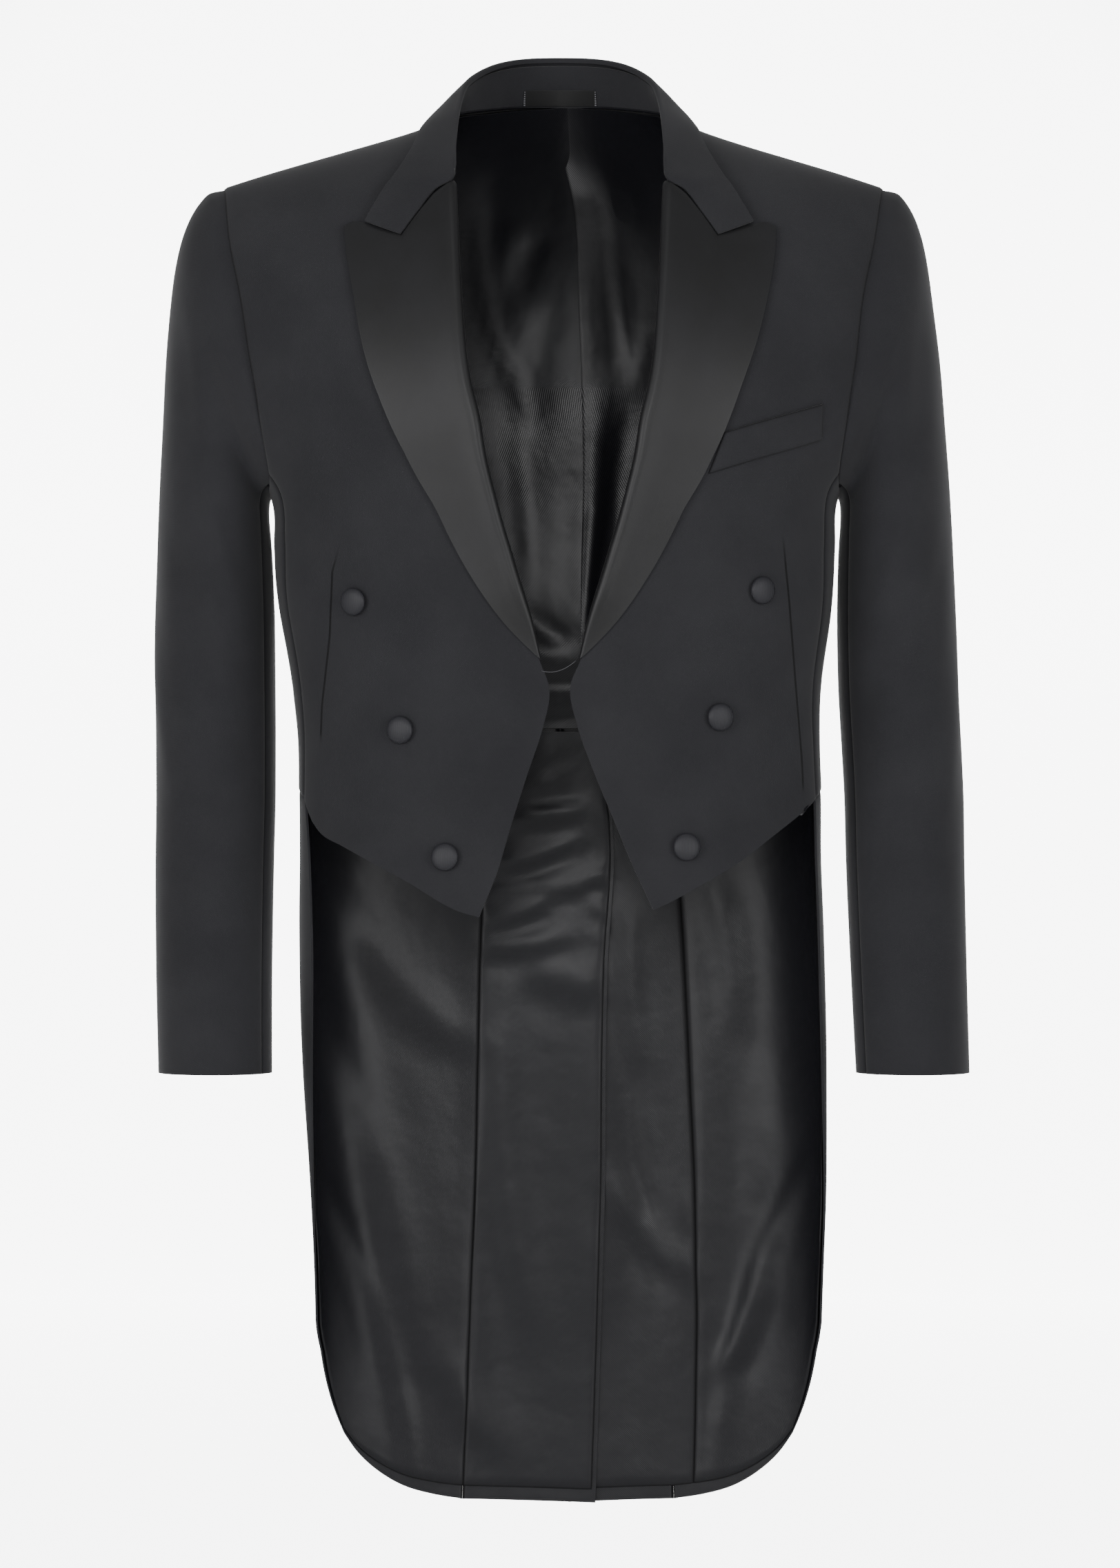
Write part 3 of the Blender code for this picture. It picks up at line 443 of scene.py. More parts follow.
def sway(x, z):
    """How far the coat hangs aside at a height, in millimetres."""
    aside = glide(SWAY, z)[..., 0]
    at_sides = smooth((np.abs(x) - SWAY_STARTS) / (SWAY_FULL - SWAY_STARTS))
    return np.where(z < SWAY_ALL_OVER, aside, aside * at_sides)


def placed(side, x, y, z):
    """A point of one half of the coat, put on its side, in millimetres."""
    return np.stack(np.broadcast_arrays(side * x + sway(x, z), y, z), axis=-1)


def section(z, tail):
    """half_width, front_depth, back_depth, side line and roundness at a height."""
    rows = glide(BODY, z)
    rows = np.concatenate([rows, np.broadcast_to([0.0, ROUNDNESS], rows.shape[:-1] + (2,))], axis=-1)
    if tail:
        rows = np.where((np.asarray(z) < WAIST)[..., None], glide(TAIL, z), rows)
    return np.moveaxis(rows, -1, 0)


def girth_angle(x, z, face, tail=False):
    """Girth angle of a point at x, on the front or the back."""
    half_width, _, _, _, roundness = section(z, tail)
    share_out = np.minimum(np.abs(x) / half_width, 1) ** (1 / roundness)
    angle = np.degrees(np.arcsin(share_out)) * np.where(np.asarray(x) >= 0, 1, -1)
    return angle if face == FRONT else 180 - angle


def cloth_height(x, z):
    """Height along the cloth: above the chest it goes on round, over the shoulder."""
    reach = ridge(x) - CHEST
    over = CHEST + reach * np.arcsin(np.clip((z - CHEST) / reach, 0, 1))
    return np.where(np.asarray(z) <= CHEST, z, over)


def spot_at(x, z, face=FRONT, tail=False):
    """(girth angle, cloth height) of points seen from the front or from the back."""
    return np.stack(np.broadcast_arrays(girth_angle(x, z, face, tail), cloth_height(x, z)), axis=-1)


def form(side, angle, height, tail=False):
    """The coat's outer face at a girth angle and a cloth height."""
    sine, cosine = np.sin(np.radians(angle)), np.cos(np.radians(angle))
    z, turn = np.array(height, float), np.zeros(np.shape(height))
    for _ in range(5):
        half_width, front_depth, back_depth, side_line, roundness = section(z, tail)
        x = half_width * np.sign(sine) * np.abs(sine) ** roundness
        reach = ridge(x) - CHEST
        turn = np.clip((height - CHEST) / reach, 0, math.pi / 2)
        z = np.where(height > CHEST, CHEST + reach * np.sin(turn), height)
    depth = np.where(cosine > 0, -front_depth, back_depth - side_line)
    y = side_line + depth * np.abs(cosine) ** roundness
    middle = SIDE_LINE * smooth(turn)
    squareness = 1 - SHOULDER_SQUARENESS * smooth((np.abs(x) - SQUARE_FROM) / (SQUARE_TO - SQUARE_FROM))
    y = np.where(height > CHEST, middle + (y - middle) * np.maximum(np.cos(turn), 0) ** squareness, y)
    if tail and side > 0:
        opened = smooth((VENT_OPENS - z) / (VENT_OPENS - VENT_OPEN))
        faded = 1 - smooth((np.abs(x) - VENT_LAP) / (VENT_FADES - VENT_LAP))
        y = y + np.where(cosine < 0, VENT_LIFT * opened * faded, 0)
    return placed(side, x, y, z)


def unit(vectors):
    return vectors / np.linalg.norm(vectors, axis=-1, keepdims=True)


def outward(side, places, distance=0.0, tail=False):
    """Points moved out of the coat's face, or into it where distance is below 0."""
    angle, height = places[..., 0], places[..., 1]
    here = form(side, angle, height, tail)
    along = form(side, angle + 0.5, height, tail) - form(side, angle - 0.5, height, tail)
    up = here - form(side, angle, height - 1, tail)
    return here + unit(np.cross(along, up) * side) * np.asarray(distance)[..., None]


def on_coat(side, x, z, distance=0.0, face=FRONT):
    """The coat's face at a point seen from the front or the back, moved out by a distance."""
    return outward(side, spot_at(x, z, face), distance)


def through(places, tail=False):
    """A smooth line through (girth angle, cloth height) places, even in its true length."""
    places = np.array(places, float)
    points = form(1, places[:, 0], places[:, 1], tail)
    steps = np.linalg.norm(np.diff(points, axis=0), axis=1)
    table = np.column_stack([np.concatenate([[0], np.cumsum(steps)]) / steps.sum(), places])
    return partial(glide, table)


def seen(points, face=FRONT, tail=False):
    """The same through points seen from the front or from the back."""
    x, z = np.array(points, float).T
    return through(spot_at(x, z, face, tail), tail)


def straight(start, end):
    start, end = np.array(start, float), np.array(end, float)
    return lambda t: start + np.asarray(t)[..., None] * (end - start)


def turned_round(line):
    return lambda t: line(1 - np.asarray(t))


def stretches(*parts):
    """One line made of (rows, line) parts, so that a grid's rows fall on their ends."""
    total = sum(rows for rows, _ in parts)

    def line(t):
        row, start = np.asarray(t, float) * total, 0
        places = np.zeros(row.shape + (2,))
        for rows, part in parts:
            share_up = np.clip((row - start) / rows, 0, 1)
            places = np.where((row >= start)[..., None], part(share_up), places)
            start += rows
        return places
    return line


def stacked(*parts):
    """Patches one above another, given as (rows, patch) from the lowest up."""
    return lambda u, v: stretches(*[(rows, partial(patch, u)) for rows, patch in parts])(v)


def between(bottom, top, inner, outer):
    """The patch held by four lines of (girth angle, cloth height), each run from low to high."""
    corners = bottom(0), bottom(1), top(0), top(1)

    def place(u, v):
        a, b = np.asarray(u, float)[..., None], np.asarray(v, float)[..., None]
        edges = (1 - b) * bottom(u) + b * top(u) + (1 - a) * inner(v) + a * outer(v)
        return edges - ((1 - a) * (1 - b) * corners[0] + a * (1 - b) * corners[1]
                        + (1 - a) * b * corners[2] + a * b * corners[3])
    return place


def laid(side, patch, tail=False):
    """A patch laid on the coat's form: a spot for two shares and a lift off the form."""
    return lambda u, v, lift: outward(side, patch(u, v), lift, tail)


def armhole_rows():
    """The armhole table turned to cloth heights; both ends are the shoulder seam's end."""
    angle, z = np.array(ARMHOLE, float).T
    across = section(z, False)[0] * np.sin(np.radians(angle)) ** ROUNDNESS
    rows = np.column_stack([np.linspace(0, 1, len(z)), angle, cloth_height(across, z)])
    for row, face in ((0, FRONT), (-1, BACK)):
        rows[row, 1:] = spot_at(SHOULDER_X, ridge(SHOULDER_X), face)
    return rows


armhole = partial(glide, armhole_rows())


def share(side, x, z):
    """The wearer's right lapel and collar end are a little narrower than the left."""
    if side > 0:
        return x
    roll = glide([(height, across) for across, height in ROLL_LINE], z)[..., 0]
    return roll + (x - roll) * glide(RIGHT_SHARE, z)[..., 0]


def side_seam(t):
    height = SIDE_SEAM[0][0] + np.asarray(t) * (SIDE_SEAM[-1][0] - SIDE_SEAM[0][0])
    return np.stack([glide(SIDE_SEAM, height)[..., 0], height], axis=-1)


BACK_LINE = through([spot_at(x, z, BACK) for z, x in BACK_SEAM[:-1]] + [armhole(BACK_SEAM_AT)])
WAIST_LINE = through(WAIST_SEAM[:-1] + [tuple(BACK_LINE(0))])


def tail_height(t, hem):
    """Heights of the tail's rows; the top row is the stretch in which the vent opens."""
    last = (TAIL_ROWS - 1) / TAIL_ROWS
    t = np.asarray(t, float)
    return np.where(t <= last, hem + t / last * (VENT_OPEN - hem),
                    VENT_OPEN + (t - last) / (1 - last) * (VENT_OPENS - VENT_OPEN))


def tail_seam(t):
    height = tail_height(t, TAIL_SEAM[0][0])
    return np.stack([girth_angle(glide(TAIL_SEAM, height)[..., 0], height, BACK, True), height], axis=-1)


def shoulder_seam(face):
    def line(t):
        x = NECK_X + np.asarray(t) * (SHOULDER_X - NECK_X)
        return spot_at(x, ridge(x), face)
    return line


def front_spot(name):
    """Front from the hem to the shoulder; above the break its edge lies under the lapel."""
    tucked = [(x + FRONT_TUCK * min(1, (count + 1) / 3), z) for count, (x, z) in enumerate(ROLL_LINE)]
    tucked += [(x + FRONT_TUCK / 2, z) for x, z in NECK_SEAM]
    inner = seen(FRONT_EDGE[name] + tucked + [(NECK_X, ridge(NECK_X))])
    hem = seen(FRONT_HEM[name])

    def arm(t):
        return armhole(FRONT_SEAM_AT * (1 - np.asarray(t)))

    outer = stretches((1, straight(hem(1), side_seam(0))), (SEAM_ROWS, side_seam), (ARM_ROWS, arm))
    return laid(SIDES[name], between(hem, shoulder_seam(FRONT), inner, outer))


def side_spot(name):
    def top(t):
        return armhole(FRONT_SEAM_AT + np.asarray(t) * (BACK_SEAM_AT - FRONT_SEAM_AT))
    return laid(SIDES[name], between(WAIST_LINE, top, side_seam, BACK_LINE))


def back_spot(name):
    """Back and the middle of the tail in one, from the hem to the neck and shoulder."""
    def arm(t):
        return armhole(BACK_SEAM_AT + np.asarray(t) * (1 - BACK_SEAM_AT))

    def centre_tail(t):
        height = tail_height(t, CENTRE_HEM[-1][1])
        past = glide(UNDERLAP, height)[..., 0] if name == "right" else np.zeros(np.shape(height))
        return np.stack([girth_angle(-past, height, BACK, True), height], axis=-1)

    waist, level, nape = [(180.0, height) for height in
                          (VENT_OPENS, BACK_SEAM[-1][0], float(cloth_height(0, NAPE_HEIGHT)))]
    waist_row, level_row = straight(BACK_LINE(0), waist), straight(BACK_LINE(1), level)
    neck_points = [(x, z) for x, z, _ in STAND_SEAM[:4]] + [(NECK_X, ridge(NECK_X))]
    top = stretches((3, turned_round(shoulder_seam(BACK))), (2, turned_round(seen(neck_points, BACK))))
    tail = between(straight(tail_seam(0), centre_tail(0)), waist_row, tail_seam, centre_tail)
    middle = between(waist_row, level_row, BACK_LINE, straight(waist, level))
    upper = between(level_row, top, arm, straight(level, nape))
    whole = stacked((TAIL_ROWS, tail), (SEAM_ROWS, middle), (BACK_ARM_ROWS, upper))
    return laid(SIDES[name], whole, True)


def skirt_spot(name):
    """Outer half of a tail, from its front edge round to the tail seam."""
    edge = through([(angle, height) for height, angle in TAIL_EDGE[name]], True)
    corner = seen(HEM_CORNER, BACK, True)
    front_edge = stretches((2, corner), (1, straight(corner(1), edge(0))), (TAIL_ROWS - 3, edge))
    return laid(SIDES[name], between(seen(HEM, BACK, True), WAIST_LINE, front_edge, tail_seam), True)


def relief(folds, here):
    """How far a list of folds lifts the cloth at points in millimetres."""
    x, z = here[..., 0], here[..., 2]
    lift = np.zeros(x.shape)
    for x0, z0, x1, z1, bend, width, height in folds:
        run = np.array([x1 - x0, z1 - z0])
        length = np.hypot(*run)
        along = ((x - x0) * run[0] + (z - z0) * run[1]) / length ** 2
        across = ((x - x0) * run[1] - (z - z0) * run[0]) / length
        across = across - bend * 4 * along * (1 - along)
        fading = smooth(along / FOLD_FADE + 0.5) * smooth((1 - along) / FOLD_FADE + 0.5)
        beside = (across - HOLLOW_AWAY * width) / width
        lift += height * fading * (np.exp(-((across / width) ** 2)) - HOLLOW * np.exp(-(beside ** 2)))
    return lift


def linear(hex_colour):
    """An sRGB hex colour as the linear one that a shader takes."""
    parts = [int(hex_colour[i:i + 2], 16) / 255 for i in (1, 3, 5)]
    return [part / 12.92 if part <= 0.04045 else ((part + 0.055) / 1.055) ** 2.4 for part in parts] + [1.0]


def node(tree, kind, inputs=None, **settings):
    """Adds one node with its settings; an input is a value, or a socket to link."""
    made = tree.nodes.new("ShaderNode" + kind)
    for key, value in settings.items():
        setattr(made, key, value)
    for key, value in (inputs or {}).items():
        if isinstance(value, bpy.types.NodeSocket):
            tree.links.new(value, made.inputs[key])
        else:
            made.inputs[key].default_value = value
    return made


def new_finish(name, **constants):
    """A material, with what is the same all over set on its shader's own sockets."""
    made = bpy.data.materials.new(name)
    made.use_nodes = True
    tree = made.node_tree
    for key, value in constants.items():
        tree.nodes["Principled BSDF"].inputs[key.replace("_", " ")].default_value = value
    return made, tree


def varied(made, **sockets):
    """Links what varies over the cloth into the shader, and gives back the finished material."""
    tree = made.node_tree
    for key, socket in sockets.items():
        tree.links.new(socket, tree.nodes["Principled BSDF"].inputs[key.replace("_", " ")])
    return made


def threads(tree, where, pitch, angle, waver=0.0):
    """Height from 0 to 1 of threads lying at an angle, their pitch in millimetres of cloth."""
    turned = node(tree, "Mapping", {"Vector": where, "Rotation": (0, 0, math.radians(angle))})
    scale = math.pi / (10 * pitch * MM)
    return node(tree, "TexWave", {"Vector": turned.outputs[0], "Scale": scale, "Distortion": waver},
                wave_type="BANDS", bands_direction="X", wave_profile="SIN").outputs["Fac"]


def sum_of(tree, *terms):
    """Adds (height, share) terms."""
    total = None
    for height, part in terms:
        scaled = node(tree, "Math", {0: height, 1: part}, operation="MULTIPLY").outputs[0]
        if total is None:
            total = scaled
        else:
            total = node(tree, "Math", {0: total, 1: scaled}, operation="ADD").outputs[0]
    return total


def two_tones(tree, factor, low, high, first, second):
    """A colour between two hex values as factor goes from low to high."""
    ranged = node(tree, "MapRange", {"Value": factor, "From Min": low, "From Max": high})
    return node(tree, "Mix", {0: ranged.outputs[0], 6: linear(first), 7: linear(second)},
                data_type="RGBA").outputs[2]


def wool_barathea():
    """Barathea, a close pebbled worsted: matt, almost black, faintly violet in studio light."""
    made, tree = new_finish("wool_barathea", Roughness=0.88, Specular_IOR_Level=0.2,
                            Sheen_Weight=0.1, Sheen_Roughness=0.5)
    cut = node(tree, "UVMap", uv_map="cut").outputs[0]
    place = node(tree, "TexCoord").outputs["Object"]
    # The real rib is 0.6 mm; drawn at 1.1 mm so that it shows at half a millimetre to a pixel.
    rib, weft = threads(tree, cut, 1.1, 32, 1.5), threads(tree, cut, 1.4, -58, 1.5)
    nap = node(tree, "TexNoise", {"Vector": place, "Scale": 1100.0, "Detail": 2.0}).outputs["Fac"]
    cloud = node(tree, "TexNoise", {"Vector": place, "Scale": 16.0, "Detail": 4.0}).outputs["Fac"]
    # Painted shade: the colour goes almost black along seams, open edges and dart lines, where the cloth dips
    # into a groove; the dart line is also a groove in the bump.
    dart = node(tree, "SeparateXYZ", {0: node(tree, "Attribute", attribute_name="dart").outputs["Vector"]})
    away = node(tree, "Math", {0: dart.outputs[0]}, operation="ABSOLUTE").outputs[0]
    line = node(tree, "MapRange", {"Value": away, "From Min": 0.3 * MM, "From Max": 1.1 * MM, "To Min": 1.0,
                                   "To Max": 0.0}, interpolation_type="SMOOTHSTEP").outputs[0]
    stitched = node(tree, "Math", {0: line, 1: dart.outputs[1]}, operation="MULTIPLY").outputs[0]
    seam = node(tree, "Attribute", attribute_name="seam").outputs["Fac"]
    shaded = node(tree, "Math", {0: seam, 1: stitched}, operation="MAXIMUM").outputs[0]
    weave = sum_of(tree, (rib, 0.5), (weft, 0.3), (nap, 0.5), (stitched, -4.0))
    tone = sum_of(tree, (cloud, 0.75), (nap, 0.25))
    cloth = two_tones(tree, tone, 0.36, 0.64, WOOL_DARK, WOOL_LIGHT)
    colour = node(tree, "Mix", {0: shaded, 6: cloth, 7: linear(WOOL_SEAM_SHADE)}, data_type="RGBA").outputs[2]
    bump = node(tree, "Bump", {"Strength": 0.35, "Distance": 0.00012, "Height": weave})
    return varied(made, Base_Color=colour, Normal=bump.outputs[0])


def facing_satin():
    """Duchesse satin on the lapels: long floats of thread give a soft, broad sheen."""
    made, tree = new_finish("lapel_duchesse_satin", Roughness=0.44, Specular_IOR_Level=0.33,
                            Sheen_Weight=0.05, Sheen_Roughness=0.4)
    cut = node(tree, "UVMap", uv_map="cut").outputs[0]
    place = node(tree, "TexCoord").outputs["Object"]
    # Threads 0.15 mm apart; drawn at 0.9 mm so that they show.
    rib = threads(tree, cut, 0.9, 3, 0.8)
    cloud = node(tree, "TexNoise", {"Vector": place, "Scale": 22.0, "Detail": 3.0}).outputs["Fac"]
    colour = two_tones(tree, cloud, 0.35, 0.65, SATIN_DARK, SATIN_LIGHT)
    height = sum_of(tree, (rib, 0.4), (cloud, 1.2))
    bump = node(tree, "Bump", {"Strength": 0.12, "Distance": 0.0002, "Height": height})
    return varied(made, Base_Color=colour, Normal=bump.outputs[0])


def lining_twill():
    """Viscose twill lining: black, smooth and slippery, with bright, soft-edged highlights."""
    made, tree = new_finish("lining_viscose_twill", Specular_IOR_Level=0.28)
    cut = node(tree, "UVMap", uv_map="cut").outputs[0]
    place = node(tree, "TexCoord").outputs["Object"]
    # Twill lines 0.4 mm apart; drawn at 1.1 mm so that they show.
    twill = threads(tree, cut, 1.1, 45, 0.3)
    crumple = node(tree, "TexNoise", {"Vector": place, "Scale": 26.0, "Detail": 3.0}).outputs["Fac"]
    seam = node(tree, "Attribute", attribute_name="seam").outputs["Fac"]
    satin = two_tones(tree, twill, 0.1, 0.9, LINING_DARK, LINING_LIGHT)
    # Painted shade along the lining's seams: almost black there, and matt.
    colour = node(tree, "Mix", {0: seam, 6: satin, 7: linear(LINING_SEAM_SHADE)}, data_type="RGBA").outputs[2]
    dull = node(tree, "MapRange", {"Value": seam, "To Min": 0.34, "To Max": 1.0}).outputs[0]
    fine = node(tree, "Bump", {"Strength": 0.3, "Distance": 0.00014, "Height": twill})
    soft = node(tree, "Bump", {"Strength": 0.35, "Distance": 0.003, "Height": crumple,
                               "Normal": fine.outputs[0]})
    return varied(made, Base_Color=colour, Roughness=dull, Normal=soft.outputs[0])


def button_satin():
    """Satin stretched over a button mould: fine threads in two tones."""
    made, tree = new_finish("button_satin", Roughness=0.5, Specular_IOR_Level=0.3)
    place = node(tree, "TexCoord").outputs["Object"]
    rib = threads(tree, place, 0.8, 20, 0.6)
    colour = two_tones(tree, rib, 0.0, 1.0, BUTTON_DARK, BUTTON_LIGHT)
    bump = node(tree, "Bump", {"Strength": 0.2, "Distance": 0.00015, "Height": rib})
    return varied(made, Base_Color=colour, Normal=bump.outputs[0])


def label_ribbon():
    """Woven damask label ribbon, bare, with a bar of pale stitches near each end."""
    made, tree = new_finish("label_damask_ribbon", Roughness=0.55, Specular_IOR_Level=0.4)
    cut = node(tree, "UVMap", uv_map="cut").outputs[0]
    split = node(tree, "SeparateXYZ", {0: cut})
    out = node(tree, "Math", {0: split.outputs[0]}, operation="ABSOLUTE")
    bar_at = (LABEL_SIZE[0] / 2 - BAR_FROM_END) * MM
    bar = node(tree, "Math", {0: out.outputs[0], 1: bar_at, 2: BAR_HALF * MM}, operation="COMPARE")
    stitch = threads(tree, cut, 1.6, 90)
    shown = node(tree, "Math", {0: bar.outputs[0], 1: stitch}, operation="MULTIPLY").outputs[0]
    return varied(made, Base_Color=two_tones(tree, shown, 0.2, 0.8, RIBBON, STITCHES))


def sewing_thread():
    """Grey polyester thread of the slack link that ties the fronts."""
    made, tree = new_finish("sewing_thread", Roughness=0.6)
    twist = threads(tree, node(tree, "TexCoord").outputs["Object"], 0.8, 40)
    return varied(made, Base_Color=two_tones(tree, twist, 0.0, 1.0, THREAD_DARK, THREAD_LIGHT))


def studio_paper():
    """Pale seamless background paper, faintly mottled, with a painted glow behind the coat: it emits light
    there, fading away from the coat's middle.
    """
    made, tree = new_finish("studio_paper", Roughness=0.9, Emission_Color=linear("#ffffff"))
    place = node(tree, "TexCoord").outputs["Object"]
    grain = node(tree, "TexNoise", {"Vector": place, "Scale": 6.0}).outputs["Fac"]
    colour = two_tones(tree, grain, 0.3, 0.7, PAPER_DARK, PAPER_LIGHT)
    # Painted glow: the paper emits light behind the coat, as a pool that fades away from the coat's middle.
    far = node(tree, "SeparateXYZ", {0: place}).outputs[1]
    glow = node(tree, "MapRange", {"Value": far, "From Min": GLOW_STARTS, "From Max": GLOW_FULL,
                                   "To Min": 0.0, "To Max": PAPER_GLOW},
                interpolation_type="SMOOTHSTEP").outputs[0]
    aside = node(tree, "Mapping", {"Vector": place, "Location": (0, 0, 0.5), "Scale": (1, 0, 1)})
    away = node(tree, "VectorMath", {0: aside.outputs[0]}, operation="LENGTH").outputs["Value"]
    spot = node(tree, "MapRange", {"Value": away, "From Min": GLOW_REACH[0], "From Max": GLOW_REACH[1],
                                   "To Min": 1.0, "To Max": 0.0}, interpolation_type="SMOOTHSTEP").outputs[0]
    glow = node(tree, "Math", {0: glow, 1: spot}, operation="MULTIPLY").outputs[0]
    return varied(made, Base_Color=colour, Emission_Strength=glow)


FINISHES = {"wool": wool_barathea(), "lapel_satin": facing_satin(), "lining_satin": lining_twill(),
            "covered_button": button_satin(), "label": label_ribbon(), "thread": sewing_thread(),
            "paper": studio_paper()}


def add_piece(name, bm, slot, *nodes, lining=None):
    """Makes the piece an object that rides on the coat, in the place of its nodes."""
    mesh = bpy.data.meshes.new(name)
    bm.to_mesh(mesh)
    bm.free()
    mesh.shade_smooth()
    piece = bpy.data.objects.new(name, mesh)
    for finish in (slot, lining):
        if finish:
            mesh.materials.append(FINISHES[finish])
    bpy.context.collection.objects.link(piece)
    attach(piece, "root")
    if nodes:
        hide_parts(*nodes)
    return piece


def shares_along(length, step):
    """Shares of a side of a piece: even steps, and closer ones by each end for its edge."""
    inset = BY_THE_EDGE[-1]
    middle = np.linspace(inset, length - inset, max(2, round(length / step)))
    return np.concatenate([BY_THE_EDGE[:-1], middle, length - np.array(BY_THE_EDGE[-2::-1])]) / length


def along_rows(grid):
    """Distance of each point from the middle of its row, in a grid of points."""
    steps = np.linalg.norm(np.diff(grid, axis=1), axis=-1)
    far = np.concatenate([np.zeros((len(grid), 1)), np.cumsum(steps, axis=1)], axis=1)
    return far - far[:, far.shape[1] // 2][:, None]


def with_corner(shares, corner):
    """Columns at and close beside a sharp corner, in the place of the nearest ones."""
    far = shares[np.abs(shares - corner) > 1.5 * BY_A_CORNER]
    return np.sort(np.concatenate([far, corner + np.array([-BY_A_CORNER, 0, BY_A_CORNER])]))


def laid_grid(across, up, spot, painted_seam_shade=None):
    """A bmesh grid with its points put at spot(u, v), its cut as a UV map in metres.

    The last argument, a function of (u, v) where it is given, tells the finish how near a seam is, for the
    painted shade along it."""
    columns, rows = len(across), len(up)
    bm = bmesh.new()
    bmesh.ops.create_grid(bm, x_segments=columns - 1, y_segments=rows - 1, size=0.5)
    bm.verts.ensure_lookup_table()
    column = [round((vertex.co.x + 0.5) * (columns - 1)) for vertex in bm.verts]
    row = [round((vertex.co.y + 0.5) * (rows - 1)) for vertex in bm.verts]
    grid = spot(*np.meshgrid(across, up))
    cut = np.stack([along_rows(grid), along_rows(grid.swapaxes(0, 1)).T], axis=-1) * MM
    layer = bm.loops.layers.uv.new("cut")
    near = painted_seam_shade(*np.meshgrid(across, up)) if painted_seam_shade else None
    seam = bm.verts.layers.float.new("seam") if painted_seam_shade else None
    for vertex, i, j in zip(bm.verts, row, column):
        vertex.co = Vector(grid[i, j]) * MM
        if painted_seam_shade:
            vertex[seam] = near[i, j]
        for loop in vertex.link_loops:
            loop[layer].uv = cut[i, j]
    bmesh.ops.remove_doubles(bm, verts=bm.verts, dist=0.00002)
    return bm


def mark_darts(piece, darts):
    """Notes on the cloth how far each point is from a dart's stitched line, and where it ends."""
    mesh = piece.data
    places = np.zeros(len(mesh.vertices) * 3, np.float32)
    mesh.vertices.foreach_get("co", places)
    x, z = places.reshape(-1, 3)[:, 0] / MM, places.reshape(-1, 3)[:, 2] / MM
    line = np.array(darts, float)[::-1]
    across = x - np.interp(z, line[:, 1], line[:, 0])
    ends = smooth((z - line[0, 1]) / DART_FOOT) * smooth((line[-1, 1] - z) / DART_TIP)
    marks = np.stack([across * MM, ends, 0 * ends], axis=-1).astype(np.float32)
    layer = mesh.attributes.new("dart", "FLOAT_VECTOR", "POINT")
    layer.data.foreach_set("vector", marks.ravel())


def give_wall(piece, thickness, edge=0.6, lined=False):
    """Thickness behind the visible face, with the edges rounded as turned cloth is."""
    wall = piece.modifiers.new("wall", "SOLIDIFY")
    wall.thickness = thickness * MM
    wall.offset = -1
    wall.use_even_offset = False
    wall.material_offset = 1 if lined else 0
    rim = piece.modifiers.new("turned_edge", "BEVEL")
    rim.width = edge * MM
    rim.segments = 2
    rim.limit_method = "ANGLE"
    rim.angle_limit = math.radians(50)


def sew(name, slot, spot, size, *nodes, step=5.0, thickness=CLOTH, sewn="", folds=(), base=0.0, inward=False,
        lining=None, across=(0, 1), up=(0, 1), held="hung", area=1.0, rests_on=(), shape=None, edge=0.6,
        corner=None, mouth="", over=()):
    """A piece of cloth, size across and up in millimetres, laid by spot(u, v, lift).

    across and up are the stretches of spot that it covers. sewn names the sides drawn into
    a seam: l and r for low and high u, b and t for low and high v; mouth names one that
    stands open; painted shade darkens the colour along both. An inward piece is seen from inside, so its lift
    counts inwards.
    corner is a share across at which its outline has a sharp corner; over are the folds
    of the cloth it lies on, which it follows, and its own troughs stay short of that cloth."""
    width, height = size
    sign = -1 if inward else 1

    def measured(u, v):
        """Shares across and up the piece, and the distance from each of its sides."""
        a, b = (u - across[0]) / (across[1] - across[0]), (v - up[0]) / (up[1] - up[0])
        return a, b, {"l": a * width, "r": (1 - a) * width, "b": b * height, "t": (1 - b) * height}

    def lift_at(u, v):
        a, b, sides = measured(u, v)
        lift = np.full(np.shape(u), float(base))
        for letter in sewn:
            lift -= SEAM_DIP * np.exp(-((sides[letter] / SEAM_ROLL) ** 2))
        flat = spot(u, v, sign * lift)
        own = relief(folds, flat)
        lift = lift + np.maximum(own, TROUGH * np.tanh(own / TROUGH)) if inward else lift + own
        lift = lift + sign * relief(over, flat)
        return lift if shape is None else lift + shape(a, b, flat)

    def whole(u, v):
        return spot(u, v, sign * lift_at(u, v))

    # Painted shade: closeness to the sewn sides and open mouths, 1 at the side and 0 from SEAM_SHADE away,
    # which the finish darkens.
    def painted_seam_shade(u, v):
        sides = measured(u, v)[2]
        far = np.full(np.shape(u), SEAM_SHADE)
        away = np.min([sides[letter] for letter in sewn + mouth] + [far], axis=0)
        return np.clip(1 - away / SEAM_SHADE, 0, 1)

    shares = [low + shares_along(length, step) * (high - low)
              for (low, high), length in ((across, width), (up, height))]
    if corner:
        shares[0] = with_corner(shares[0], corner)
    bm = laid_grid(*shares, whole, painted_seam_shade)
    middle = (np.array([[sum(across) / 2]]), np.array([[sum(up) / 2]]))
    rise = (spot(*middle, np.array([[sign * (base + 1.0)]])) - spot(*middle, np.array([[sign * base]])))[0, 0]
    centre = whole(*middle)[0, 0] * MM
    bm.normal_update()
    nearest = min(bm.faces, key=lambda face: (face.calc_center_median() - Vector(centre)).length)
    if nearest.normal.dot(Vector(rise)) < 0:
        bmesh.ops.reverse_faces(bm, faces=bm.faces)
    piece = add_piece(name, bm, slot, *nodes, lining=lining)
    give_wall(piece, thickness, min(edge, thickness * 0.4), bool(lining))
    return piece


